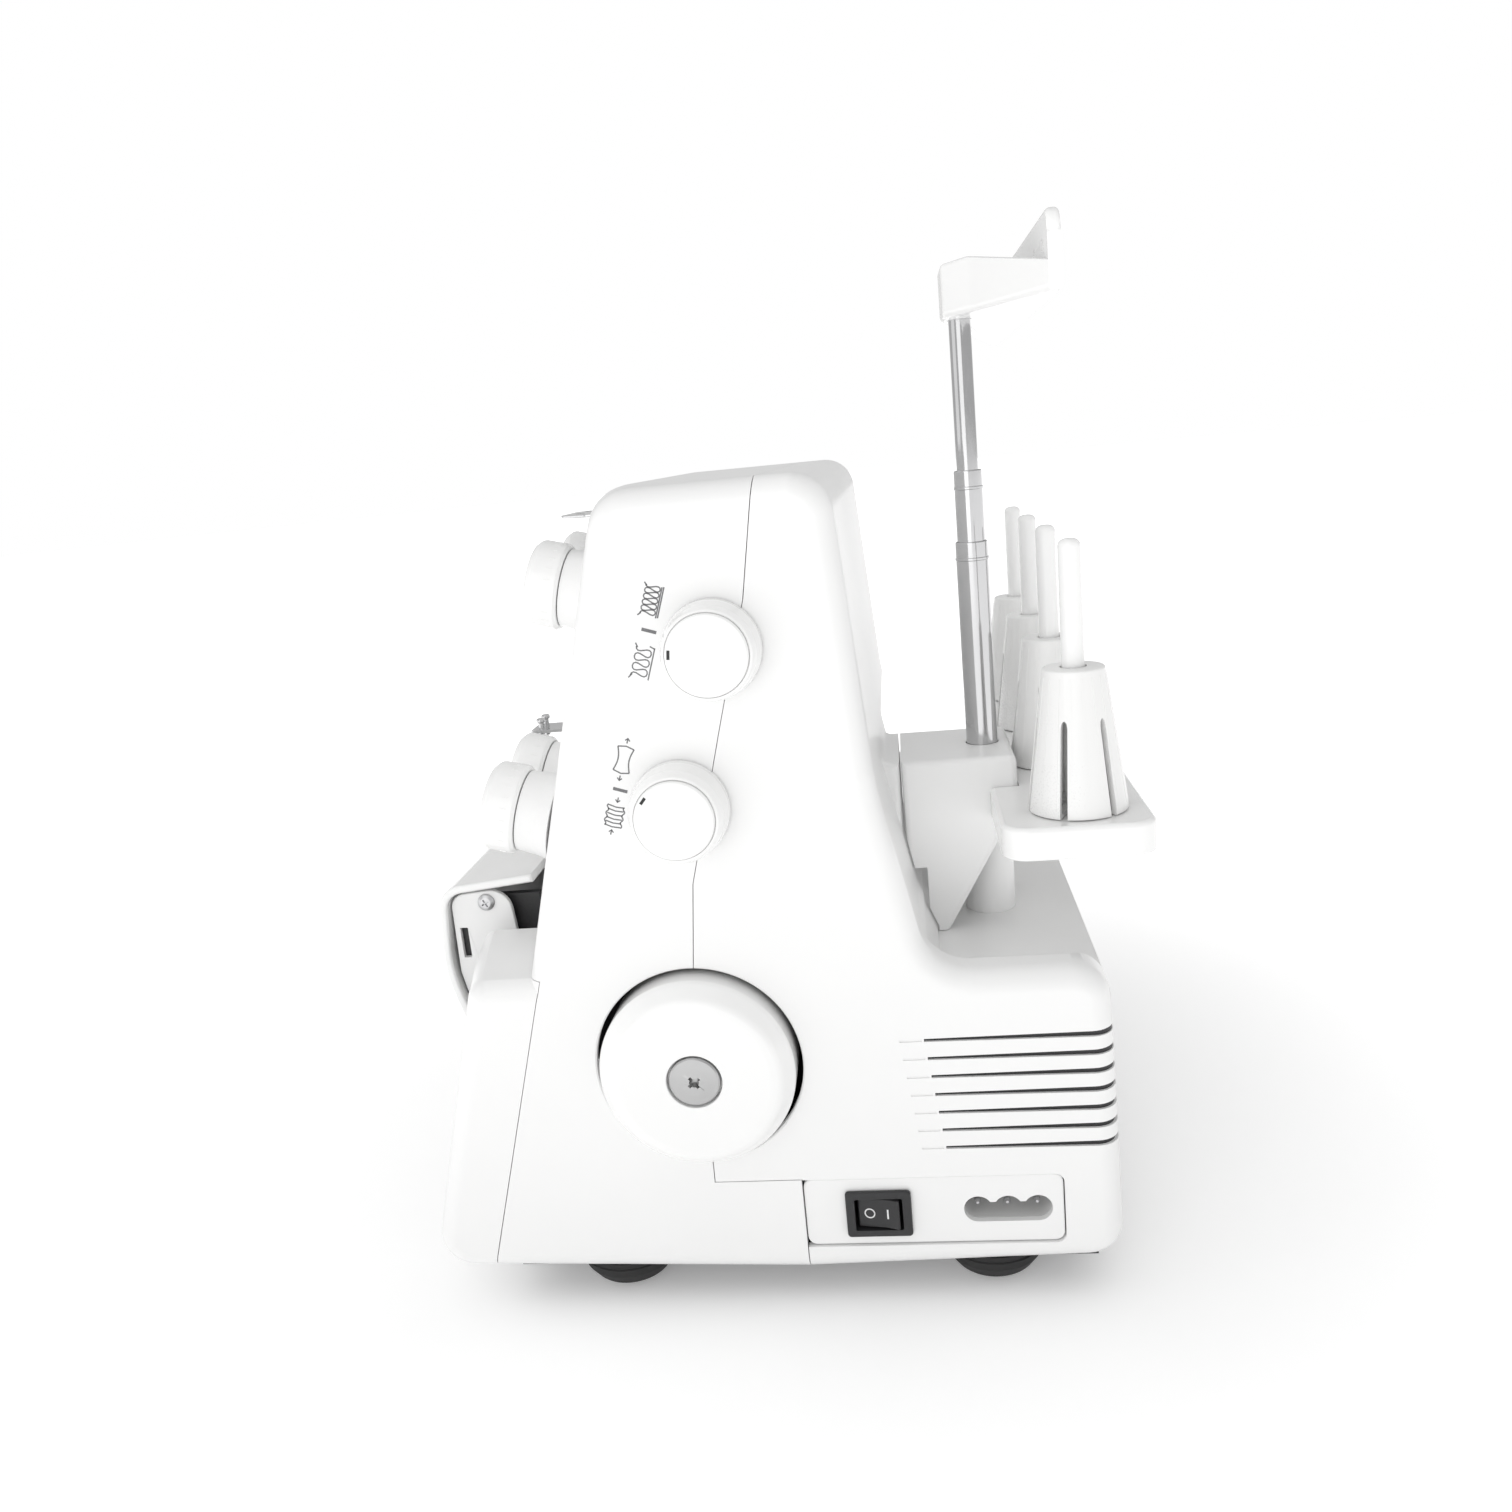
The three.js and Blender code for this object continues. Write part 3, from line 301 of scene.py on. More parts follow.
def on_plan(point: Vector, depth: float) -> Vector:
    """Puts an (X, Y) point at Z = depth."""
    return Vector((point.x, point.y, depth))


def prism(points: Sequence[Vector], low: float, high: float, lift: Lift = on_side,
          round_low: float = 0.0, round_high: float = 0.0, steps: int = 5) -> Solid:
    """Straight block over an outline, with rounded rims if asked.

    Args:
        points: The outline.
        low: Where the block starts.
        high: Where it ends.
        lift: Puts an outline point at a depth.
        round_low: Radius of the rim at the start.
        round_high: Radius of the rim at the end.
        steps: Chords in each rim.

    Returns:
        The block.
    """
    shape = anticlockwise(points)
    angles = [math.pi / 2 * s / steps for s in range(steps + 1)]
    levels = [(low + round_low * (1 - math.sin(a)), round_low * (1 - math.cos(a)))
              for a in angles[::-1]] \
        if round_low else [(low, 0.0)]
    levels += [(high - round_high * (1 - math.sin(a)), round_high * (1 - math.cos(a))) for a in angles] \
        if round_high else [(high, 0.0)]
    return Solid.skin([[lift(p, depth) for p in inset(shape, by)] for depth, by in levels])


def block(x0: float, x1: float, y0: float, y1: float, z0: float, z1: float) -> Solid:
    """Box between two corners, mostly for cutting."""
    return prism([Vector(p) for p in ((y0, z0), (y1, z0), (y1, z1), (y0, z1))], x0, x1)


def turned(profile: Sequence[Corner], at: Sequence[float], along: Sequence[float], sides: int = 72,
           steps: int = 5) -> Solid:
    """Turns a profile about a line.

    Args:
        profile: Corners (radius, height) or (radius, height, rounding); a profile that comes back to
            its first corner makes a ring.
        at: A point on the line, height zero.
        along: Direction of growing height.
        sides: Facets round the line.
        steps: Chords in each rounded corner.

    Returns:
        The turned solid.
    """
    ring_like = profile[0][:2] == profile[-1][:2]
    points = outline(profile[:-1] if ring_like else profile, steps, closed=ring_like)
    turn = Vector((0, 0, 1)).rotation_difference(Vector(along)).to_matrix()
    rings = []
    for p in points:
        ring = []
        for i in range(sides):
            angle = 2 * math.pi * i / sides
            ring.append(turn @ Vector((p.x * math.cos(angle), p.x * math.sin(angle), p.y)) + Vector(at))
        rings.append(ring)
    return Solid.skin(rings, hollow=ring_like)


def bar(r: float, at: Sequence[float], along: Sequence[float], length: float, sides: int = 48) -> Solid:
    """Round bar from a point along a direction."""
    return turned([(0, 0), (r, 0), (r, length), (0, length)], at, along, sides)


def ribbon(paths: Sequence[Sequence[Corner]], width: float, lift: Lift, low: float,
           high: float) -> bpy.types.Mesh:
    """Thin raised lines, as ink stands on a surface.

    Args:
        paths: Open lines in the surface's two directions.
        width: Line width.
        lift: Puts a point at a depth.
        low: Underside of the line.
        high: Top of the line.

    Returns:
        One mesh with all lines.
    """
    build = bmesh.new()
    for path in paths:
        piece = prism(strip([Vector(p) for p in path], width), low, high, lift).mesh
        build.from_mesh(piece)
        bpy.data.meshes.remove(piece)
    mesh = bpy.data.meshes.new("lines")
    build.to_mesh(mesh)
    build.free()
    return mesh


# ---------------------------------------------------------------- repeated details by Geometry Nodes
class Repeat:
    """A node tree that repeats a small form."""

    def __init__(self, name: str) -> None:
        """Starts an empty tree with one geometry output."""
        self.tree = bpy.data.node_groups.new(name, "GeometryNodeTree")
        self.tree.interface.new_socket("Geometry", in_out="INPUT", socket_type="NodeSocketGeometry")
        self.tree.interface.new_socket("Geometry", in_out="OUTPUT", socket_type="NodeSocketGeometry")
        self.inputs = self.tree.nodes.new("NodeGroupInput")
        self.output = self.tree.nodes.new("NodeGroupOutput")

    def size(self, name: str, kind: str) -> str:
        """Adds a named input and returns its identifier."""
        return self.tree.interface.new_socket(name, in_out="INPUT", socket_type=kind).identifier

    def add(self, kind: str, settings: dict | None = None, **links: object) -> bpy.types.Node:
        """Adds one node.

        Args:
            kind: The node's type.
            settings: Properties set first.
            **links: Values or sockets for its inputs, by name with _ for a space.

        Returns:
            The node.
        """
        node = self.tree.nodes.new(kind)
        for key, value in (settings or {}).items():
            setattr(node, key, value)
        for key, value in links.items():
            socket = node.inputs[key.replace("_", " ")]
            if isinstance(value, bpy.types.NodeSocket):
                self.tree.links.new(value, socket)
            else:
                socket.default_value = value
        return node

    def close(self, geometry: bpy.types.NodeSocket, material: bpy.types.Material) -> None:
        """Ends the tree in real, dressed geometry."""
        real = self.add("GeometryNodeRealizeInstances", Geometry=geometry)
        dressed = self.add("GeometryNodeSetMaterial", Geometry=real.outputs[0])
        dressed.inputs["Material"].default_value = material
        self.tree.links.new(dressed.outputs[0], self.output.inputs[0])

    def mesh(self, values: dict[str, object]) -> bpy.types.Mesh:
        """Works the tree out with the given input values, by identifier."""
        carrier = bpy.data.objects.new("carrier", bpy.data.meshes.new("carrier"))
        bpy.context.scene.collection.objects.link(carrier)
        modifier = carrier.modifiers.new("repeat", "NODES")
        modifier.node_group = self.tree
        for identifier, value in values.items():
            modifier[identifier] = value
        result = plain_mesh(carrier)
        bpy.data.objects.remove(carrier)
        return result


def ring_of_bars(count: int, radius: float, size: Sequence[float], lean: float,
                 material: bpy.types.Material) -> bpy.types.Mesh:
    """Equal bars round the Z line, each facing outwards.

    Args:
        count: How many.
        radius: From the line to the middle of a bar.
        size: Length outwards, width and height.
        lean: How far each bar's top tips towards the line, in radians.
        material: What the bars are made of.

    Returns:
        The bars as one mesh.
    """
    plan = Repeat("ring_of_bars")
    ids = {"Count": plan.size("Count", "NodeSocketInt"), "Radius": plan.size("Radius", "NodeSocketFloat"),
           "Size": plan.size("Size", "NodeSocketVector"), "Lean": plan.size("Lean", "NodeSocketVector")}
    out = plan.inputs.outputs
    circle = plan.add("GeometryNodeMeshCircle", {"fill_type": "NONE"}, Vertices=out["Count"],
                      Radius=out["Radius"])
    cube = plan.add("GeometryNodeMeshCube", Size=out["Size"])
    tipped = plan.add("GeometryNodeTransform", Geometry=cube.outputs[0], Rotation=out["Lean"])
    place = plan.add("GeometryNodeInputPosition")
    facing = plan.add("FunctionNodeAlignRotationToVector", {"axis": "X", "pivot_axis": "Z"},
                      Vector=place.outputs[0])
    bars = plan.add("GeometryNodeInstanceOnPoints", Points=circle.outputs[0], Instance=tipped.outputs[0],
                    Rotation=facing.outputs[0])
    plan.close(bars.outputs[0], material)
    return plan.mesh({ids["Count"]: count, ids["Radius"]: radius, ids["Size"]: tuple(size),
                      ids["Lean"]: (0.0, -lean, 0.0)})


# ---------------------------------------------------------------- finishes
class Signal:
    """A value running through a material's nodes, on which sums can be written."""

    def __init__(self, sheet: "Sheet", socket: bpy.types.NodeSocket) -> None:
        """Keeps the node sheet and the socket that gives the value."""
        self.sheet, self.socket = sheet, socket

    def _sum(self, operation: str, a: "Signal | float", b: "Signal | float") -> "Signal":
        """Adds one Math node."""
        return self.sheet.node("ShaderNodeMath", {"operation": operation}, {0: a, 1: b})

    def __add__(self, other: "Signal | float") -> "Signal":
        """self + other"""
        return self._sum("ADD", self, other)

    def __radd__(self, other: float) -> "Signal":
        """other + self"""
        return self._sum("ADD", other, self)

    def __sub__(self, other: "Signal | float") -> "Signal":
        """self - other"""
        return self._sum("SUBTRACT", self, other)

    def __rsub__(self, other: float) -> "Signal":
        """other - self"""
        return self._sum("SUBTRACT", other, self)

    def __mul__(self, other: "Signal | float") -> "Signal":
        """self * other"""
        return self._sum("MULTIPLY", self, other)

    def __rmul__(self, other: float) -> "Signal":
        """other * self"""
        return self._sum("MULTIPLY", other, self)

    def __pow__(self, other: float) -> "Signal":
        """self to a power"""
        return self._sum("POWER", self, other)


class Sheet:
    """The nodes of one material round a Principled shader."""

    def __init__(self, name: str) -> None:
        """Starts a material with its shader and the object's own coordinates."""
        self.material = bpy.data.materials.new(name)
        self.material.use_nodes = True
        self.tree = self.material.node_tree
        self.tree.nodes.clear()
        self.shader = self.tree.nodes.new("ShaderNodeBsdfPrincipled")
        end = self.tree.nodes.new("ShaderNodeOutputMaterial")
        self.tree.links.new(self.shader.outputs[0], end.inputs["Surface"])
        self.place = self.node("ShaderNodeTexCoord", output="Object")

    def node(self, kind: str, settings: dict | None = None, inputs: dict | None = None,
             output: int | str = 0) -> Signal:
        """Adds one node.

        Args:
            kind: The node's type.
            settings: Properties set first; "stops" holds a ramp's (place, value) pairs.
            inputs: Values or signals by socket name or number.
            output: Which output to use.

        Returns:
            The output as a signal.
        """
        node = self.tree.nodes.new(kind)
        for key, value in (settings or {}).items():
            if key == "stops":
                ramp = node.color_ramp.elements
                for stop, (at, level) in zip(ramp, value):
                    stop.position, stop.color = at, (level, level, level, 1)
            else:
                setattr(node, key, value)
        for key, value in (inputs or {}).items():
            self.feed(node.inputs[key], value)
        return Signal(self, node.outputs[output])

    def feed(self, socket: bpy.types.NodeSocket, value: object) -> None:
        """Links a signal to a socket, or sets the socket to a value."""
        if isinstance(value, Signal):
            self.tree.links.new(value.socket, socket)
        elif isinstance(value, tuple) and len(value) == 3 and socket.type == "RGBA":
            socket.default_value = (*value, 1)
        else:
            socket.default_value = value

    def noise(self, per_metre: float, detail: float = 3.0,
              stretch: Sequence[float] = (1, 1, 1)) -> Signal:
        """Cloudy pattern from 0 to 1.

        Args:
            per_metre: Spots in a metre.
            detail: Octaves.
            stretch: Scale along X, Y and Z.

        Returns:
            The pattern.
        """
        place = self.node("ShaderNodeMapping", inputs={"Vector": self.place, "Scale": tuple(stretch)})
        return self.node("ShaderNodeTexNoise",
                         inputs={"Vector": place, "Scale": per_metre, "Detail": detail},
                         output="Fac")

    def blend(self, amount: Signal, low: Colour, high: Colour) -> Signal:
        """Colour between two colours by a signal."""
        return self.node("ShaderNodeMix", {"data_type": "RGBA"}, {0: amount, 6: (*low, 1), 7: (*high, 1)},
                         2)

    def bump(self, height: Signal, distance: float, strength: float = 1.0) -> None:
        """Raises the surface by a signal times a distance in metres."""
        normal = self.node("ShaderNodeBump",
                           inputs={"Height": height, "Distance": distance, "Strength": strength},
                           output="Normal")
        self.feed(self.shader.inputs["Normal"], normal)

    def dress(self, **values: object) -> bpy.types.Material:
        """Sets the shader's sockets, by name with _ for a space, and gives the material."""
        for key, value in values.items():
            self.feed(self.shader.inputs[key.replace("_", " ")], value)
        return self.material


@dataclass(frozen=True)
class Plastic:
    """Injection-moulded plastic: fine spark-eroded grain, faint colour and gloss clouds."""

    name: str
    colour: Colour
    shade: Colour
    gloss: float
    grain: float = 1500.0
    depth: float = 0.000012
    coat: float = 0.0

    def material(self) -> bpy.types.Material:
        """Builds the plastic's nodes."""
        sheet = Sheet(self.name)
        clouds = sheet.noise(26.0, 4.0)
        grain = sheet.noise(self.grain, 2.0)
        sheet.bump(grain + clouds * 0.6, self.depth)
        return sheet.dress(Base_Color=sheet.blend(clouds, self.shade, self.colour),
                           Roughness=self.gloss + (clouds - 0.5) * 0.12 + (grain - 0.5) * 0.08,
                           Coat_Weight=self.coat, Coat_Roughness=0.12, IOR=1.5)


@dataclass(frozen=True)
class Rubber:
    """Moulded rubber: nearly black, dusty on its high spots."""

    name: str

    def material(self) -> bpy.types.Material:
        """Builds the rubber's nodes."""
        sheet = Sheet(self.name)
        dust, pores = sheet.noise(60.0, 5.0), sheet.noise(1800.0, 3.0)
        sheet.bump(pores, 0.00005)
        return sheet.dress(Base_Color=sheet.blend(dust ** 2.0, (0.010, 0.010, 0.011),
                                                  (0.035, 0.034, 0.033)),
                           Roughness=0.62 + dust * 0.25)


@dataclass(frozen=True)
class Metal:
    """Bare or plated metal with tool lines and faint smears."""

    name: str
    colour: Colour
    shade: Colour
    gloss: float
    lines: tuple[float, float, float] = (1.0, 1.0, 1.0)
    depth: float = 0.000004

    def material(self) -> bpy.types.Material:
        """Builds the metal's nodes."""
        sheet = Sheet(self.name)
        smears = sheet.noise(45.0, 3.0)
        tool = sheet.noise(900.0, 3.0, self.lines)
        sheet.bump(tool, self.depth)
        return sheet.dress(Base_Color=sheet.blend(smears, self.shade, self.colour), Metallic=1.0,
                           Roughness=self.gloss + (smears - 0.5) * 0.08 + (tool - 0.5) * 0.10)


@dataclass(frozen=True)
class Casting:
    """Die casting under thin paint, with a rough pebbled skin."""

    name: str

    def material(self) -> bpy.types.Material:
        """Builds the casting's nodes."""
        sheet = Sheet(self.name)
        pebbles, stains = sheet.noise(700.0, 4.0), sheet.noise(35.0, 3.0)
        sheet.bump(pebbles, 0.00015)
        return sheet.dress(Base_Color=sheet.blend(stains, (0.012, 0.012, 0.013), (0.05, 0.05, 0.052)),
                           Metallic=0.25, Roughness=0.42 + pebbles * 0.3)


@dataclass(frozen=True)
class Ink:
    """Printed ink, a little uneven in cover."""

    name: str
    colour: Colour

    def material(self) -> bpy.types.Material:
        """Builds the ink's nodes."""
        sheet = Sheet(self.name)
        cover = sheet.noise(1400.0, 3.0)
        pale = tuple(min(1.0, c * 1.5 + 0.02) for c in self.colour)
        sheet.bump(cover, 0.00001)
        return sheet.dress(Base_Color=sheet.blend(cover, self.colour, pale), Roughness=0.5 + cover * 0.2)


class Finishes:
    """The machine's materials, each built once."""

    def __init__(self) -> None:
        """Builds every finish."""
        self.shell = Plastic("shell_white", (0.905, 0.905, 0.90), (0.88, 0.88, 0.877), 0.36,
                             coat=0.15).material()
        self.gloss = Plastic("gloss_white", (0.92, 0.92, 0.915), (0.895, 0.895, 0.89), 0.22, grain=900.0,
                             depth=0.000006, coat=0.35).material()
        self.inner = Plastic("inner_white", (0.74, 0.74, 0.735), (0.69, 0.69, 0.685), 0.5).material()
        self.cone = Plastic("cone_white", (0.90, 0.90, 0.89), (0.865, 0.865, 0.86), 0.3,
                            coat=0.2).material()
        self.black = Plastic("switch_black", (0.026, 0.026, 0.028), (0.016, 0.016, 0.017), 0.42,
                             grain=2200.0, depth=0.00006).material()
        self.dark = Plastic("bay_black", (0.05, 0.05, 0.052), (0.022, 0.022, 0.023), 0.5, grain=900.0,
                            depth=0.00008).material()
        self.rubber = Rubber("foot_rubber").material()
        self.steel = Metal("turned_steel", (0.62, 0.62, 0.63), (0.52, 0.52, 0.53), 0.30,
                           (1.0, 12.0, 12.0)).material()
        self.plate = Metal("ground_plate", (0.72, 0.72, 0.73), (0.64, 0.64, 0.65), 0.26,
                           (14.0, 1.0, 1.0)).material()
        self.chrome = Metal("bright_chrome", (0.60, 0.60, 0.605), (0.50, 0.50, 0.505), 0.12,
                            (1.0, 1.0, 0.2),
                            0.000002).material()
        self.screw = Metal("zinc_screw", (0.55, 0.55, 0.55), (0.42, 0.42, 0.42), 0.36,
                           depth=0.00001).material()
        self.casting = Casting("painted_casting").material()
        self.print = Ink("grey_print", (0.13, 0.13, 0.135)).material()
        self.mark = Ink("black_mark", (0.012, 0.012, 0.012)).material()
        self.symbol = Ink("white_symbol", (0.6, 0.6, 0.6)).material()


@dataclass
class Bench:
    """Where finished solids become pieces of the model."""

    finishes: Finishes
    sharp: float = math.radians(32)

    def place(self, shape: Solid | bpy.types.Mesh, name: str, body: str, slot: Slot,
              material: bpy.types.Material, replaces: Sequence[str] = (),
              edge: float = 0.0) -> bpy.types.Object:
        """Finishes a shape and adds it to the model.

        Args:
            shape: The shape in millimetres.
            name: Name of the piece.
            body: Frame body it rides on.
            slot: Record slot its finish comes from; not used.
            material: Its material.
            replaces: CAD nodes it stands for.
            edge: Width of the small bevel along its sharp edges.

        Returns:
            The new object.
        """
        mesh = shape.mesh if isinstance(shape, Solid) else shape
        self._merge_flat(mesh)
        if edge:
            mesh = self._through(mesh, "BEVEL", width=edge, segments=2, limit_method="ANGLE",
                                 angle_limit=self.sharp, use_clamp_overlap=True, miter_outer="MITER_ARC")
        mesh.shade_smooth()
        mesh.set_sharp_from_angle(angle=self.sharp)
        mesh = self._through(mesh, "WEIGHTED_NORMAL", weight=60, keep_sharp=True, mode="FACE_AREA")
        mesh.transform(Matrix.Scale(0.001, 4))
        mesh.materials.clear()
        mesh.materials.append(material)
        mesh.name = name
        piece = bpy.data.objects.new(name, mesh)
        bpy.context.scene.collection.objects.link(piece)
        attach(piece, body)
        if replaces:
            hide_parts(*replaces)
        log.info("%s: %d faces, rides on %s", name, len(mesh.polygons), body)
        return piece

    @staticmethod
    def _merge_flat(mesh: bpy.types.Mesh) -> None:
        """Joins neighbouring faces that lie in one plane, so that flat walls shade evenly."""
        build = bmesh.new()
        build.from_mesh(mesh)
        bmesh.ops.dissolve_limit(build, angle_limit=math.radians(0.05), verts=build.verts,
                                 edges=build.edges)
        build.to_mesh(mesh)
        build.free()

    @staticmethod
    def _through(mesh: bpy.types.Mesh, kind: str, **settings: object) -> bpy.types.Mesh:
        """Works one modifier into a mesh."""
        item = bpy.data.objects.new("work", mesh)
        bpy.context.scene.collection.objects.link(item)
        modifier = item.modifiers.new("work", kind)
        for key, value in settings.items():
            setattr(modifier, key, value)
        result = plain_mesh(item)
        bpy.data.objects.remove(item)
        return result

    @staticmethod
    def refinish(node: str, material: bpy.types.Material) -> None:
        """Gives a CAD node that stays a better material."""
        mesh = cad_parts[node].data
        if not mesh.materials:
            mesh.materials.append(material)
        for i in range(len(mesh.materials)):
            mesh.materials[i] = material
        log.info("%s keeps its shape in %s", node, material.name)


# ---------------------------------------------------------------- moulded housings
def bulge_at(x: float) -> float:
    """How far the front swells forward of its right edge."""
    t = max(0.0, min(1.0, (SIDE_X - EDGE_R - x) / 90))
    return BULGE * math.sin(t * math.pi / 2)


def front_y(x: float, z: float) -> float:
    """Y of the sloping front face."""
    return FRONT_Y + FRONT_SLOPE * (z - FRONT_Z) - bulge_at(x)


def dial_point(x: float, z: float, out: float) -> Vector:
    """A point on a tension dial's line, some way out from the front face."""
    return Vector((x, front_y(x, z), z)) + Vector((0, -math.cos(DIAL_TILT), math.sin(DIAL_TILT))) * out


DIAL_LINE = (0.0, -math.cos(DIAL_TILT), math.sin(DIAL_TILT))


@dataclass
class Housings:
    """The white shells: front housing, rear housing and the lower front cover."""

    bench: Bench
    top_z: float = 301.0
    rear_y: float = 124.0
    toe: tuple[float, float] = (-134.6, 16.5)
    apron_y: float = -103.6
    dish_x: tuple[float, float] = (-92.0, 122.0)
    dish_y: float = 150.0
    dish_z: float = 120.0
    soft: float = 5.0
    seam: tuple[tuple[float, float], ...] = ((19.5, 320), (9.7, 262.5), (-2.8, 218.5), (-17, 166.7),
                                             (-20.2, 136),
                                             (-21.2, 51.65), (10.6, 51.65), (10.6, 0))
    vent_count: int = 7
    vent_pitch: float = 6.95
    vent_top: float = 104.9
    vent_y: float = 58.0
    vent_half: float = 1.05
    vent_creep: float = 0.87
    # how far in sits the dark sheet that paints the shade inside the vent slots
    shade_sheet_deep: float = 1.5
    outer: Solid | None = None
    inner: Solid | None = None

    def side_view(self, bulge: float) -> list[Vector]:
        """Outline of the whole body seen from its right side."""

        def front(z: float) -> float:
            """Gives the y of the bulged front face at a height."""
            return FRONT_Y + FRONT_SLOPE * (z - FRONT_Z) - bulge

        return outline([(self.toe[0] - bulge, self.toe[1], 13), (10, BASE_Z - 1.2),
                        (self.rear_y + 1, BASE_Z + 2, 13),
                        (self.rear_y - 1.3, DECK_Z, 13), (62, DECK_Z, 18), (48, 195, 90),
                        (40, self.top_z, 14),
                        (front(self.top_z), self.top_z, 16), (front(APRON_TOP), APRON_TOP),
                        (self.apron_y - bulge, APRON_TOP, 9)], 9)

    def body(self, deep: float) -> Solid:
        """The whole body some way under its surface, rounded at both sides."""
        edge = EDGE_R - deep
        angles = [math.pi / 2 * s / 8 for s in range(9)]
        ends = [(edge * (1 - math.cos(a)), edge * (1 - math.sin(a))) for a in angles]
        left = [(LEFT_X + deep + along, into) for along, into in ends]
        right = [(SIDE_X - deep - along, into) for along, into in ends][::-1]
        middle = [(x, 0.0) for x in (40, 50, 60, 70, 80, 90, 100, 110, 120)]
        return Solid.skin([[on_side(p, x) for p in inset(self.side_view(bulge_at(x)), deep + into)]
                           for x, into in left + middle + right])

    @staticmethod
    def sewing_space(deep: float, round_: float = 0.0) -> Solid:
        """The open space under the head."""
        corners = [(-200, BED_Z - 3 - deep), (COLUMN_X + deep, BED_Z - 3 - deep, round_),
                   (COLUMN_X + deep, HEAD_Z + deep, round_ * 3), (-200, HEAD_Z + deep)]
        return prism(outline(corners, 6), -200, 200, on_front)

    def dish(self, deep: float) -> Solid:
        """The lowered middle of the rear deck, with soft side walls and open to the rear."""
        x0, x1 = self.dish_x
        floor, depth = self.dish_z - deep, DECK_Z - self.dish_z
        plan = anticlockwise(outline([(x0 - deep, 40), (x1 + deep, 40), (x1 + deep, self.dish_y),
                                      (x0 - deep, self.dish_y)]))
        quarter = [math.pi / 10 * s for s in range(6)]
        levels = [(floor + self.soft * (1 - math.cos(a)), self.soft * (1 - math.sin(a))) for a in quarter]
        levels += [(DECK_Z - self.soft * 0.6 * (1 - math.sin(a)), -self.soft * 0.6 * (1 - math.cos(a)))
                   for a in quarter]
        levels += [(DECK_Z + depth, levels[-1][1])]
        bowl = Solid.skin([[on_plan(p, z) for p in inset(plan, by)] for z, by in levels])
        wall = outline([(0, 100), (66 - deep, 100), (66 - deep, self.dish_z + 2), (61 - deep, DECK_Z + 6),
                        (57 - deep, DECK_Z + 14), (0, DECK_Z + 14)])
        return bowl - prism(wall, -200, 200)

    def lower_front(self, by: float, x0: float, x1: float) -> Solid:
        """Everything in front of the joint between lower front and column."""
        corners = [(-200, 0), (SEAM_FOOT_Y + by, 0), (SEAM_FOOT_Y + by, 17),
                   (SEAM_TOP_Y + by, APRON_TOP + by),
                   (-200, APRON_TOP + by)]
        return prism([Vector(c) for c in corners], x0, x1)

    def shared(self) -> None:
        """Works out the outer body and its hollow once."""
        self.outer = self.body(0) - self.sewing_space(0, 2.5) - self.dish(0)
        self.inner = self.body(WALL) - self.sewing_space(WALL) - self.dish(WALL)

    @staticmethod
    def holes() -> list[Solid]:
        """Where wheel, knobs and dials pass through the walls."""
        wheel = turned([(0, -12), (WHEEL_WELL, -12), (WHEEL_WELL, -0.5), (WHEEL_WELL + 0.5, 0),
                        (WHEEL_WELL + 0.5, 8),
                        (0, 8)], (SIDE_X, WHEEL_Y, WHEEL_Z), (1, 0, 0), 96)
        knobs = [bar(4.6, (SIDE_X - 12, y, z), (1, 0, 0), 20) for y, z in (LENGTH_KNOB, FEED_KNOB)]
        dials = [bar(4.6, (x, front_y(x, z) + 14, z - 4), DIAL_LINE, 40) for x, z in DIALS]
        return [wheel, *knobs, *dials]

    def front(self) -> Solid:
        """The front housing with the four dial pedestals."""
        shell = self.outer
        for x, z in DIALS:
            shell = shell + turned([(0, -2), (17.5, -2), (16.3, 3, 2), (15.6, 11), (0, 11)],
                                   dial_point(x, z, 0),
                                   DIAL_LINE)
        shell = shell - self.inner
        shell = shell & prism([*map(Vector, self.seam), Vector((-300, 0)), Vector((-300, 320))], -200,
                              200)
        right = APRON_X - GAP
        bay = self.lower_front(0, -200, right) - block(-200, 200, -200, 0, 0, SILL_Z)
        cuts = [self.lower_front(0, right - 1e-3, 200), bay, self.tray_opening(), *self.holes(),
                block(-100, 0, -86, -8, BED_Z - 8, BED_Z),
                block(NEEDLE_X - 9, NEEDLE_X + 9, -60, -8, 188, 198),
                block(LEFT_X - 5, LEFT_X + 8, -62.5, -47.5, 127.5, 134.5),
                block(-42, -29, -99, -86, BED_Z - 30, BED_Z)]
        for tool in cuts:
            shell = shell - tool
        return shell

    @staticmethod
    def tray_opening() -> Solid:
        """The opening in the underside that the base tray closes."""
        return block(LEFT_X + 6, SIDE_X - 6, SEAM_FOOT_Y + 8, 116, 0, BASE_Z + 6)

    def vent(self, i: int) -> tuple[Solid, Solid]:
        """One cooling slot round the rear corner, and the shallow groove in front of it."""
        z = self.vent_top - i * self.vent_pitch
        y = self.vent_y + i * self.vent_creep
        h = self.vent_half
        slot = prism(outline([(y, z - h * 0.55), (self.rear_y + 9, z - h * 1.1),
                              (self.rear_y + 9, z + h * 1.1),
                              (y, z + h * 0.55)]), SIDE_X - 9, SIDE_X + 5)
        groove = block(SIDE_X - 0.45, SIDE_X + 5, y - 8.5, y - 0.8, z - h * 0.5, z + h * 0.5)
        return slot, groove

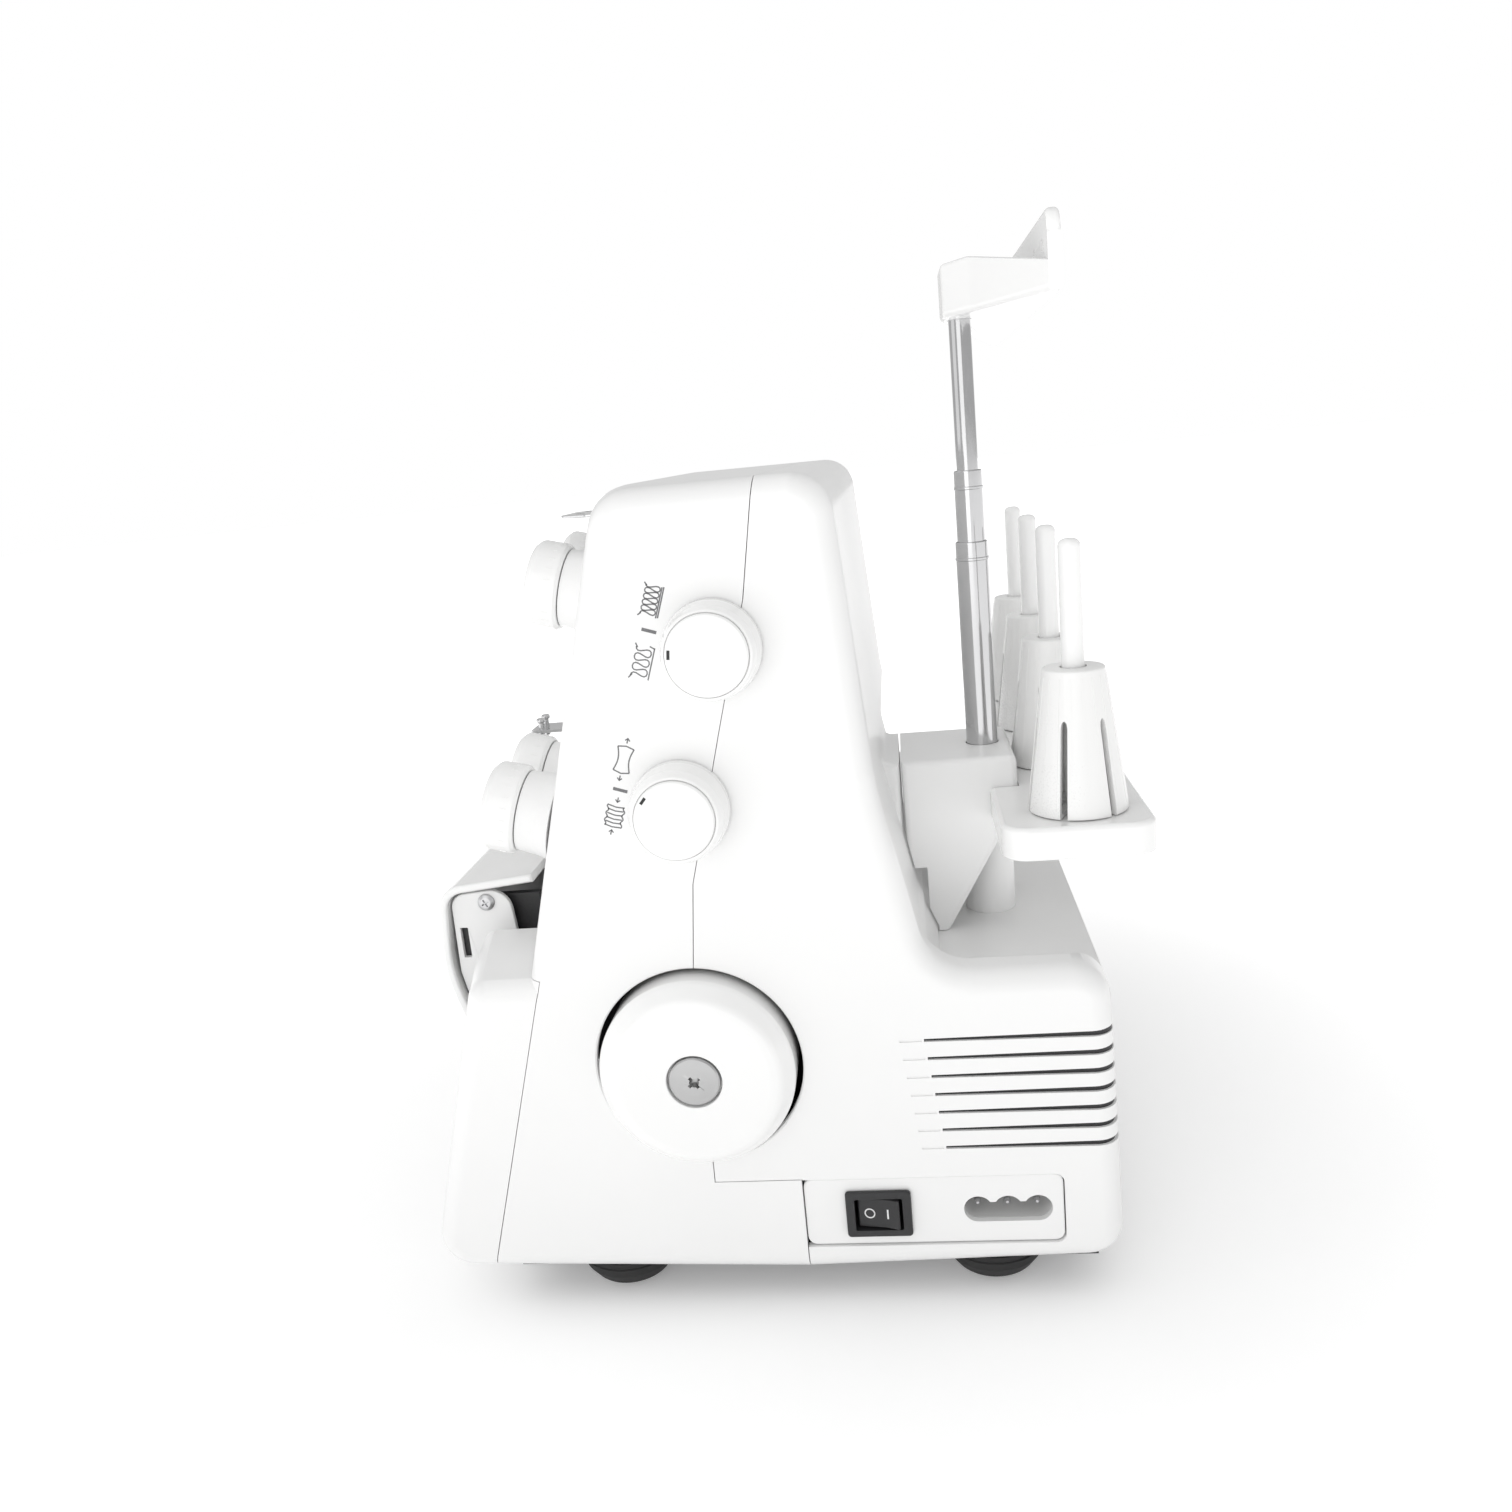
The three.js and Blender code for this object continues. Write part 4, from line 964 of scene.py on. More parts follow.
    def rear(self) -> Solid:
        """The rear housing with the stub for the stand's bracket."""
        stub = prism(outline([(42, SHELF_Z + 16), (47, SHELF_Z + 8, 3), (50.5, SHELF_Z, 3.5),
                              (SHELF_Y[0] - GAP, SHELF_Z), (SHELF_Y[0] - GAP, 135), (42, 135)]),
                     *SHELF_X, round_low=2.4, round_high=2.4)
        shell = (self.outer + stub) - self.inner
        behind = [(y + GAP, z + GAP) for y, z in self.seam] + [(300, 0), (300, 320)]
        shell = shell & prism([Vector(c) for c in behind], -200, 200)
        y0, y1, z0, z1 = PANEL_Y[0] - 2, PANEL_Y[1] + GAP, PANEL_Z[0] - GAP, PANEL_Z[1] + GAP
        cuts = [self.tray_opening(), *self.holes()[:3],
                prism(outline([(y0, z0), (y1, z0, 3.5), (y1, z1, 3.5), (y0, z1)]), SIDE_X - 8,
                      SIDE_X + 5),
                block(NEEDLE_X - 5, NEEDLE_X + 5, 19, 44, HEAD_Z - 5, HEAD_Z + 5),
                block(-100, 0, -86, -8, BED_Z - 8, BED_Z),
                block(LEFT_X - 5, LEFT_X + 8, 17.5, 32.5, 127.5, 134.5)]
        for i in range(self.vent_count):
            cuts += self.vent(i)
        for tool in cuts:
            shell = shell - tool
        return shell

    def corner_cover(self) -> Solid:
        """The lower front cover on the right."""
        skin = (self.outer - self.inner) & self.lower_front(-GAP, APRON_X, 200)
        return skin + (self.outer & self.lower_front(-GAP - 1, APRON_X, APRON_X + WALL))

    def build(self) -> None:
        """Builds and dresses the three shells."""
        self.shared()
        white, finish = Slot.WHITE, self.bench.finishes.shell
        for name, shape, edge in (("front_housing", self.front(), 0.3),
                                  ("rear_housing", self.rear(), 0.0),
                                  ("front_corner_cover", self.corner_cover(), 0.0)):
            self.bench.place(shape, f"{name}_shell", Body.MACHINE.value, white, finish, [name], edge=edge)
        self.dress()

    def dress(self) -> None:
        """Adds a dark sheet behind the cooling slots, round the rear corner, as painted shade so the
        slots read dark.
        """
        side, back = SIDE_X - self.shade_sheet_deep, self.rear_y - self.shade_sheet_deep
        path = outline([(side, 50), (side, back, EDGE_R - self.shade_sheet_deep), (SIDE_X - 12, back)], 8,
                       closed=False)
        # dark sheet standing for the shade inside the cooling slots: painted shade, not a real screen
        shade_sheet = prism(strip(path, 0.8), 56, 110, on_plan)
        self.bench.place(shade_sheet, "vent_painted_shade_sheet", Body.MACHINE.value, Slot.BLACK, self.bench.finishes.black)


# ---------------------------------------------------------------- base and feet
@dataclass
class Base:
    """Rubber feet and the tray under the machine."""

    bench: Bench
    feet: tuple[tuple[str, float, float], ...] = (("front_left", -88, -62), ("front_right", 115, -62),
                                                  ("rear_left", -88, 79), ("rear_right", 115, 79))
    radius: float = 19.5

    def foot(self, x: float, y: float) -> Solid:
        """One domed foot with a flat tread and a groove round it."""
        r = self.radius
        return turned([(0, 0.2), (7, 0.2), (7.6, 0), (9, 0), (15, 3.2, 3), (18.4, 8, 3), (r - 0.2, 11.4),
                       (r - 0.7, 11.9),
                       (r, 12.5), (r, BASE_Z + 0.25), (0, BASE_Z + 0.25)], (x, y, 0), (0, 0, 1), 64)

    def build(self) -> None:
        """Builds the four feet."""
        for name, x, y in self.feet:
            self.bench.place(self.foot(x, y), f"rubber_foot_{name}", Body.MACHINE.value, Slot.RUBBER,
                             self.bench.finishes.rubber, [f"foot_{name}"])
        self.dress()

    def dress(self) -> None:
        """Finishes the tray."""
        self.bench.refinish("base_tray", self.bench.finishes.dark)


# ---------------------------------------------------------------- power side
@dataclass
class PowerSide:
    """Panel with rocker switch and foot-control socket."""

    bench: Bench
    switch_y: float = 37.6
    switch_z: float = 37.4
    bezel: tuple[float, float] = (23.7, 18.3)
    rocker: tuple[float, float] = (15.8, 11.6)
    depth: float = 14.0

    def rect(self, half_y: float, half_z: float, y: float, z: float, radius: float) -> list[Vector]:
        """A rounded rectangle on the side."""
        return outline([(y - half_y, z - half_z, radius), (y + half_y, z - half_z, radius),
                        (y + half_y, z + half_z, radius), (y - half_y, z + half_z, radius)])

    def socket(self) -> list[Vector]:
        """Three round holes run together, flat between them along the bottom."""
        points: list[Vector] = []
        for i, start, end in ((1, -90, 148), (0, 32, 148), (-1, 32, 270)):
            middle = Vector((SOCKET_Y + i * SOCKET_PITCH, SOCKET_Z))
            first = math.radians(start)
            points += arc(middle, Vector((math.cos(first), math.sin(first))) * SOCKET_R,
                          math.radians(end - start), 22)
        return points

    def build(self) -> None:
        """Builds panel, bezel, rocker and socket."""
        bench, f, machine = self.bench, self.bench.finishes, Body.MACHINE.value
        y0, y1 = PANEL_Y[0] + GAP, PANEL_Y[1]
        plate = prism(outline([(y0, PANEL_Z[0], 3.5), (y1, PANEL_Z[0], 3.5), (y1, PANEL_Z[1], 3.5),
                               (y0, PANEL_Z[1], 3.5)]),
                      PANEL_X - 2.5, PANEL_X, round_high=0.7)
        w, h = self.bezel[0] / 2, self.bezel[1] / 2
        plate = plate - prism(self.rect(w - 1.2, h - 1.2, self.switch_y, self.switch_z, 1), PANEL_X - 5,
                              PANEL_X + 2)
        plate = plate - prism(self.socket(), PANEL_X - 5, PANEL_X + 2)
        bench.place(plate, "power_panel_plate", machine, Slot.WHITE, f.shell, ["power_panel"], edge=0.35)

        flange = prism(self.rect(w, h, self.switch_y, self.switch_z, 1.4), PANEL_X + GAP, PANEL_X + 1.9,
                       round_high=0.8)
        box = prism(self.rect(w - 1.6, h - 1.6, self.switch_y, self.switch_z, 0.8), PANEL_X - 18,
                    PANEL_X + 1)
        well = prism(self.rect(self.rocker[0] / 2 + 0.7, self.rocker[1] / 2 + 0.5, self.switch_y,
                               self.switch_z, 0.6),
                     PANEL_X - 15, PANEL_X + 5)
        bench.place((flange + box) - well, "switch_frame", machine, Slot.BLACK, f.black, ["switch_bezel"],
                    edge=0.25)

        self.build_rocker()

        back = PANEL_X - 2.5 - GAP
        shell = block(back - self.depth - 3, back, SOCKET_Y - 19, SOCKET_Y + 19, SOCKET_Z - 7,
                      SOCKET_Z + 7.2)
        shell = shell - prism(self.socket(), back - self.depth, back + 1)
        bench.place(shell, "socket_shell", machine, Slot.WHITE, f.inner, ["foot_control_socket"],
                    edge=0.2)
        self.dress()

    def build_rocker(self) -> None:
        """Builds the rocker and its two symbols, pressed at the near end."""
        bench, f = self.bench, self.bench.finishes
        w, h = self.rocker[0] / 2, self.rocker[1] / 2
        pivot, face, y = PANEL_X - 3, PANEL_X + 2.2, self.switch_y
        crown = [(face + 1.2, y + w, 0.8), (face - 0.7, y + w * 0.42, 12), (face - 1.6, y - w * 0.4, 12),
                 (face - 2.4, y - w, 0.8)]
        shape = outline([(pivot - 5, y - w + 3, 1), (pivot - 5, y + w - 3, 1), *crown], 6)
        rocker = prism(shape, self.switch_z - h, self.switch_z + h, on_plan, 0.5, 0.5)
        bench.place(rocker, "rocker_key", Body.ROCKER.value, Slot.BLACK, f.black, ["power_rocker"])
        circle = [(-3.3 + 1.75 * math.cos(a), 1.75 * math.sin(a))
                  for a in (math.pi * 2 * s / 36 for s in range(36))]
        lines = [(circle + circle[:2], 0.45), ([(3.2, -1.9), (3.2, 1.9)], 0.6)]
        for number, (path, width) in enumerate(lines):
            symbol = ribbon([path], width, on_side, 0.0, 0.12)
            across = -3.3 if number == 0 else 3.2
            height = self.crown_height(across, face)
            tilt = 0.155 if number == 0 else 0.20
            where = Matrix.Translation((height, y, self.switch_z)) @ Matrix.Translation((0, across, 0)) \
                @ Matrix.Rotation(-tilt, 4, "Z") @ Matrix.Translation((0, -across, 0))
            symbol.transform(where)
            bench.place(symbol, ("symbol_off", "symbol_on")[number], Body.ROCKER.value, Slot.WHITE,
                        f.symbol)

    @staticmethod
    def crown_height(across: float, face: float) -> float:
        """Height of the rocker's face at a distance from its middle, measured along the side."""
        points = [(-7.9, face - 2.4), (-3.16, face - 1.6), (3.32, face - 0.7), (7.9, face + 1.2)]
        for (a, low), (b, high) in zip(points, points[1:]):
            if a <= across <= b:
                return low + (high - low) * (across - a) / (b - a)
        return face

    def dress(self) -> None:
        """Adds the socket's three contact pins, tinned and round-ended."""
        back = PANEL_X - 2.5 - GAP
        for i in (-1, 0, 1):
            pin = turned([(0, -1), (1.2, -1), (1.2, self.depth - 2, 0.6), (0.5, self.depth - 1),
                          (0, self.depth - 1)],
                         (back - self.depth, SOCKET_Y + i * SOCKET_PITCH, SOCKET_Z), (1, 0, 0), 24)
            self.bench.place(pin, f"socket_pin_{i + 2}", Body.MACHINE.value, Slot.STEEL,
                             self.bench.finishes.steel)


# ---------------------------------------------------------------- knobs, pictograms and wheel
@dataclass
class SideControls:
    """Stitch-length and differential-feed knobs with their printed pictograms."""

    bench: Bench
    skirt: float = 16.5
    cap: float = 13.5
    proud: float = 15.0
    line: float = 0.45
    lean: float = math.radians(-18.5)

    def knob(self, at: tuple[float, float], spare: float) -> Solid:
        """A knob: flared skirt, fine groove, flat cap."""
        r, cap, top = self.skirt + spare, self.cap, self.proud
        return turned([(0, -12), (4, -12), (4, 0), (r, 0), (r, 3.6, 1.4), (r - 0.9, top - 4.6, 1.6),
                       (cap + 1.1, top - 1.5, 1.2),
                       (cap + 0.35, top - 1.3), (cap + 0.25, top - 2.0), (cap + 0.05, top - 2.0),
                       (cap, top, 1.0),
                       (cap - 4, top), (cap - 6, top - 0.25, 2), (0, top - 0.25)],
                      (SIDE_X + GAP, *at), (1, 0, 0), 96)

    def tick(self, at: tuple[float, float], angle: float) -> bpy.types.Mesh:
        """The dark index mark near the rim of the cap."""
        path = [(math.cos(angle) * r, math.sin(angle) * r) for r in (self.cap - 1.9, self.cap - 0.9)]
        mark = ribbon([path], 3.0 if angle > 2.8 else 2.6, on_side, SIDE_X + GAP + self.proud - 0.25,
                      SIDE_X + GAP + self.proud + 0.06)
        mark.transform(Matrix.Translation((0, *at)))
        return mark

    @staticmethod
    def wave(count: int, pitch: float, width: float, loops: float) -> list[Corner]:
        """A looping seam of thread seen from above."""
        points = []
        for s in range(count * 16 + 1):
            t = s / 16
            points.append((width * (0.5 - 0.5 * math.cos(2 * math.pi * t)),
                           t * pitch + loops * math.sin(4 * math.pi * t)))
        return points

    def dense_seam(self) -> list[list[Corner]]:
        """Close stitches over a cloth edge."""
        return [self.wave(5, 1.95, 5.0, 0.62), [(6.0, -0.4), (6.0, 10.0)], [(5.4, -0.6), (5.4, 9.8)],
                [(-0.7, -0.9), (0.3, 0.2)], [(-0.6, 10.2), (0.4, 9.3)]]

    def open_seam(self) -> list[list[Corner]]:
        """Wide-set stitches over a cloth edge."""
        return [self.wave(3, 3.3, 5.4, 0.8), [(6.1, -0.4), (6.1, 10.6)], [(-0.5, -1.0), (0.5, 0.6)],
                [(-0.5, 10.9), (0.5, 9.6)], [(4.4, 10.8), (6.1, 10.3)]]

    @staticmethod
    def arrow(y: float, z: float, up: bool) -> list[list[Corner]]:
        """A small arrow."""
        s = 1.0 if up else -1.0
        return [[(y, z), (y, z + 1.7 * s)],
                [(y - 0.8, z + 0.9 * s), (y, z + 1.8 * s), (y + 0.8, z + 0.9 * s)]]

    def stretched(self) -> list[list[Corner]]:
        """Cloth pulled along its length: sides drawn in, arrows outwards."""
        left = [(0.9 * math.sin(math.pi * s / 8), 8.4 * s / 8) for s in range(9)]
        right = [(5.6 - 0.9 * math.sin(math.pi * s / 8), 8.4 * s / 8) for s in range(9)]
        return [left, right, [(0, 0), (2.8, -0.7), (5.6, 0)], [(0, 8.4), (2.8, 9.0), (5.6, 8.4)],
                *self.arrow(2.8, -1.5, False), *self.arrow(2.8, 10.0, True)]

    def gathered(self) -> list[list[Corner]]:
        """Cloth pushed together: wavy sides, close ribs, arrows inwards."""
        sides = [[(x + 0.35 * math.sin(6 * math.pi * s / 24), 7.6 * s / 24) for s in range(25)]
                 for x in (0, 5.6)]
        ribs = [[(0.1, z), (2.8, z - 0.35), (5.5, z)] for z in (0.2, 1.6, 3.0, 4.5, 6.0, 7.4)]
        return [*sides, *ribs, *self.arrow(2.8, -3.0, True), *self.arrow(2.8, 10.6, False)]

    def build(self) -> None:
        """Builds both knobs and their marks."""
        f, white, black = self.bench.finishes, Slot.WHITE, Slot.BLACK
        rows = (("stitch_length", Body.LENGTH, LENGTH_KNOB, 0.0, math.radians(174)),
                ("differential_feed", Body.FEED, FEED_KNOB, 0.5, math.radians(141)))
        for name, body, at, spare, angle in rows:
            self.bench.place(self.knob(at, spare), f"{name}_cap", body.value, white, f.gloss,
                             [f"{name}_knob"])
            self.bench.place(self.tick(at, angle), f"{name}_mark", body.value, black, f.mark)
        self.dress()

    def dress(self) -> None:
        """Prints the pictograms beside the knobs."""
        bar_mark = [[(0, 0), (5.0, 0)]]
        prints = (("dense_seam_print", self.dense_seam(), (-24.2, 261.1), self.line),
                  ("length_bar_print", bar_mark, (-24.3, 255.7), 1.1),
                  ("open_seam_print", self.open_seam(), (-29.8, 240.9), self.line),
                  ("stretched_print", self.stretched(), (-39.6, 209.2), self.line),
                  ("feed_bar_print", bar_mark, (-40.4, 202.6), 1.1),
                  ("gathered_print", self.gathered(), (-45.0, 190.1), self.line))
        for name, paths, at, width in prints:
            lines = ribbon(paths, width, on_side, SIDE_X - 0.02, SIDE_X + 0.05)
            turn = Matrix.Translation((0, *at)) @ Matrix.Rotation(self.lean, 4, "X")
            lines.transform(turn)
            self.bench.place(lines, name, Body.MACHINE.value, Slot.BLACK, self.bench.finishes.print)


@dataclass
class Handwheel:
    """The big wheel on the side with its screw."""

    bench: Bench
    radius: float = 35.0
    proud: float = 12.0

    def build(self) -> None:
        """Builds wheel and screw."""
        r, top, at = self.radius, self.proud, (SIDE_X, WHEEL_Y, WHEEL_Z)
        wheel = turned([(6.35, -14), (11, -14), (11, 4), (r - 4, 4), (r - 4, -14), (r, -14),
                        (r, top - 6, 4), (r - 4.5, top - 0.7, 5),
                        (r - 8, top, 6), (9.9, top - 0.1, 0.4), (9.6, top - 3), (3.4, top - 3),
                        (3.4, -1.6), (6.35, -1.6),
                        (6.35, -14)], at, (1, 0, 0), 128, 6)
        f = self.bench.finishes
        self.bench.place(wheel, "handwheel_rim", Body.WHEEL.value, Slot.WHITE, f.gloss, ["handwheel"])
        screw = turned([(0, -1.2), (3, -1.2), (3, top - 2.7), (9.1, top - 2.7), (9.1, top - 0.5, 0.3),
                        (8.5, top, 0.4),
                        (5, top + 0.25, 3), (0, top + 0.4)], at, (1, 0, 0), 72)
        self.bench.place(screw - self.recess(top), "wheel_screw", Body.WHEEL.value, Slot.STEEL, f.screw,
                         ["handwheel_screw"], edge=0.12)
        self.dress()

    def recess(self, top: float) -> Solid:
        """The screw's cross recess, tapering inwards."""
        x0, x1 = SIDE_X + top - 1.9, SIDE_X + top + 2
        arms = []
        for turn in (math.radians(38), math.radians(128)):
            rings = []
            for x, grow in ((x0, 0.55), (x1, 1.25)):
                corners = [(-2.6 * grow, -0.62 * grow), (2.6 * grow, -0.62 * grow),
                           (2.6 * grow, 0.62 * grow), (-2.6 * grow, 0.62 * grow)]
                c, s = math.cos(turn), math.sin(turn)
                rings.append([Vector((x, WHEEL_Y + a * c - b * s, WHEEL_Z + a * s + b * c)) for a,
                              b in corners])
            arms.append(Solid.skin(rings))
        heart = turned([(0, 0), (0.9, 0), (2.3, 3.9), (0, 3.9)], (x0, WHEEL_Y, WHEEL_Z), (1, 0, 0), 24)
        return arms[0] + arms[1] + heart

    def dress(self) -> None:
        """Finishes the shaft and pulley behind the wheel."""
        self.bench.refinish("main_shaft", self.bench.finishes.steel)
        self.bench.refinish("drive_pulley", self.bench.finishes.dark)


# ---------------------------------------------------------------- tension dials
@dataclass
class TensionDials:
    """Four thumb dials on the sloping front."""

    bench: Bench
    radius: float = 17.5
    thick: float = 14.0
    start: float = 11.35
    names: tuple[str, ...] = ("left_needle", "right_needle", "upper_looper", "lower_looper")

    def drum(self, x: float, z: float) -> Solid:
        """One dial with soft rims and a fine groove round it."""
        r, a, b = self.radius, self.start, self.start + self.thick
        return turned([(0, -14), (4, -14), (4, a), (r - 1.0, a, 0.5), (r, a + 1.2, 0.8),
                       (r, b - 2.8, 2.8), (r - 2.8, b, 2.8),
                       (r - 4.6, b - 0.1), (r - 5.4, b - 0.5, 0.6), (0, b - 0.5)], dial_point(x, z, 0),
                      DIAL_LINE, 96, 6)

    def scale(self, x: float, z: float) -> bpy.types.Mesh:
        """Fine raised tick marks round the drum."""
        ticks = ring_of_bars(24, self.radius, (0.3, 0.4, 2.4), 0.0, self.bench.finishes.gloss)
        turn = Vector((0, 0, 1)).rotation_difference(Vector(DIAL_LINE)).to_matrix().to_4x4()
        ticks.transform(Matrix.Translation(dial_point(x, z, self.start + 4.6)) @ turn)
        return ticks

    def build(self) -> None:
        """Builds the four dials with their scales."""
        f = self.bench.finishes
        for name, (x, z) in zip(self.names, DIALS):
            dial = f"dial_{name}"
            self.bench.place(self.drum(x, z), f"{name}_drum", dial, Slot.WHITE, f.gloss, [f"{name}_dial"])
            self.bench.place(self.scale(x, z), f"{name}_scale", dial, Slot.WHITE, f.gloss)
            # dark ring in the gap between pedestal and drum: painted shade where the gap's shadow falls
            collar = turned([(5.5, 10.6), (15.3, 10.6), (15.3, 11.2), (5.5, 11.2), (5.5, 10.6)],
                            dial_point(x, z, 0),
                            DIAL_LINE, 64)
            self.bench.place(collar, f"{name}_gap_shade_ring", Body.MACHINE.value, Slot.BLACK, f.dark)


# ---------------------------------------------------------------- looper cover and bay
@dataclass
class LooperBay:
    """Hinged looper cover, its end plate and the dark bay behind it."""

    bench: Bench
    x0: float = -108.0
    x1: float = 74.0
    pivot: tuple[float, float] = (-112.0, 50.0)
    thick: float = 3.4

    def path(self) -> list[Vector]:
        """Middle line of the cover's skin, from its rear flange down to the hinge."""
        return outline([(-95, 150), (-133.6, 146, 9), (-136, 112, 60), (-126, 76, 60),
                        (self.pivot[0] - 3, self.pivot[1] + 6)], 14, closed=False)

    def build(self) -> None:
        """Builds cover, end plate, screw, hinge carriage and liner."""
        bench, f, cover = self.bench, self.bench.finishes, Body.COVER.value
        y, z = self.pivot
        skin = prism(strip(self.path(), self.thick), self.x0, self.x1, round_low=1.2, round_high=1.2)
        for a, b in ((-90, -70), (40, 60)):
            knuckle = turned([(3.3, 0), (5.2, 0), (5.2, b - a), (3.3, b - a), (3.3, 0)], (a, y, z),
                             (1, 0, 0), 48)
            skin = skin + (knuckle + block(a, b, y - 4.5, y - 1.5, z + 3.4, z + 9))
        wall = anticlockwise([*self.path(), Vector((-100, 62)), Vector((-95, 120))])
        skin = skin + prism(wall, self.x0, self.x0 + WALL)
        bench.place(skin, "looper_cover_shell", cover, Slot.WHITE, f.gloss, ["looper_cover"], edge=0.4)

        plate = prism(outline([(-131.6, 143.2, 6), (-107, 145.4, 9), (-105, 124, 10), (-98.5, 112, 8),
                               (-97, 101, 3), (-104, 84, 20),
                               (-113, 66, 2), (-120, 72), (-128.6, 92), (-132, 110)], 8), self.x1 - 6,
                      self.x1 - 3.6,
                      round_high=0.6)
        plate = plate - block(self.x1 - 10, self.x1, -129.4, -126.2, 116, 129)
        bench.place(plate, "end_plate", cover, Slot.WHITE, f.shell, ["cover_end_plate"], edge=0.25)
        self.dress()

    def dress(self) -> None:
        """Adds the plate's screw, the dark backing and the bay's liner."""
        bench, f, cover = self.bench, self.bench.finishes, Body.COVER.value
        at = (self.x1 - 3.7, -116.5, 139.8)
        head = turned([(0, 0), (3.6, 0), (3.5, 1.0, 0.5), (2.2, 1.7, 1.5), (0, 1.8)], at, (1, 0, 0), 48)
        for turn in (0.5, 0.5 + math.pi / 2):
            c, s = math.cos(turn), math.sin(turn)
            slot = [Vector((at[1] + a * c - b * s, at[2] + a * s + b * c))
                    for a, b in ((-1.7, -0.33), (1.7, -0.33), (1.7, 0.33), (-1.7, 0.33))]
            head = head - prism(slot, at[0] + 0.7, at[0] + 3)
        bench.place(head, "end_plate_screw", cover, Slot.STEEL, f.steel, edge=0.08)
        backing = prism(outline([(-131.0, 142.0, 5), (-109, 143.6, 5), (-107, 124, 8), (-112, 100, 8),
                                 (-118, 80, 4),
                                 (-127.6, 92), (-131, 110)]), self.x1 - 7.6, self.x1 - 6.4)
        bench.place(backing, "end_plate_backing", cover, Slot.BLACK, f.dark)
        liner = prism(outline([(-46, 62), (-46, 131), (-95.5, 131), (-95.5, 141), (-124, 141, 4),
                               (-126, 120, 8),
                               (-119, 86, 8), (-108, 66, 4)]), 61.4, 64.4, round_high=0.6)
        for y, z, r in ((-106, 118, 2.6), (-100, 104, 1.8), (-88, 92, 3.2)):
            liner = liner + turned([(0, 0), (r, 0), (r, 1.6, 0.5), (0, 1.6)], (64.2, y, z), (1, 0, 0), 32)
        bench.place(liner, "bay_liner", Body.MACHINE.value, Slot.CASTING, f.dark, edge=0.3)
        bench.refinish("cover_carriage", f.dark)


@dataclass
class SideTable:
    """The extension table on the left."""

    bench: Bench
    x: tuple[float, float] = (-155.0, -111.2)
    y: tuple[float, float] = (-88.0, 52.0)
    z0: float = 128.0

    def plan(self, by: float) -> list[Vector]:
        """The table seen from above, moved inwards."""
        right = self.x[1] - (2.5 if by else 0)
        return outline([(self.x[0] + by, self.y[0] + by, 20), (right, self.y[0] + by, 3),
                        (right, self.y[1] - by, 3),
                        (self.x[0] + by, self.y[1] - by, 20)], 10)

    def build(self) -> None:
        """Builds the hollow slab with its two tongues."""
        slab = prism(self.plan(0), self.z0, BED_Z - 0.2, on_plan, 0.6, 2.4)
        slab = slab - prism(self.plan(2.5), self.z0 - 1, BED_Z - 3.2, on_plan)
        for y in (-61.5, 18.5):
            slab = slab + block(self.x[1] - 3, self.x[1] + 14, y, y + 13, self.z0 + 0.4, self.z0 + 5.6)
        self.dress(slab)

    def dress(self, slab: Solid) -> None:
        """Places the slab in white plastic."""
        self.bench.place(slab, "side_table", Body.TABLE.value, Slot.WHITE, self.bench.finishes.shell,
                         ["extension_table"], edge=0.3)


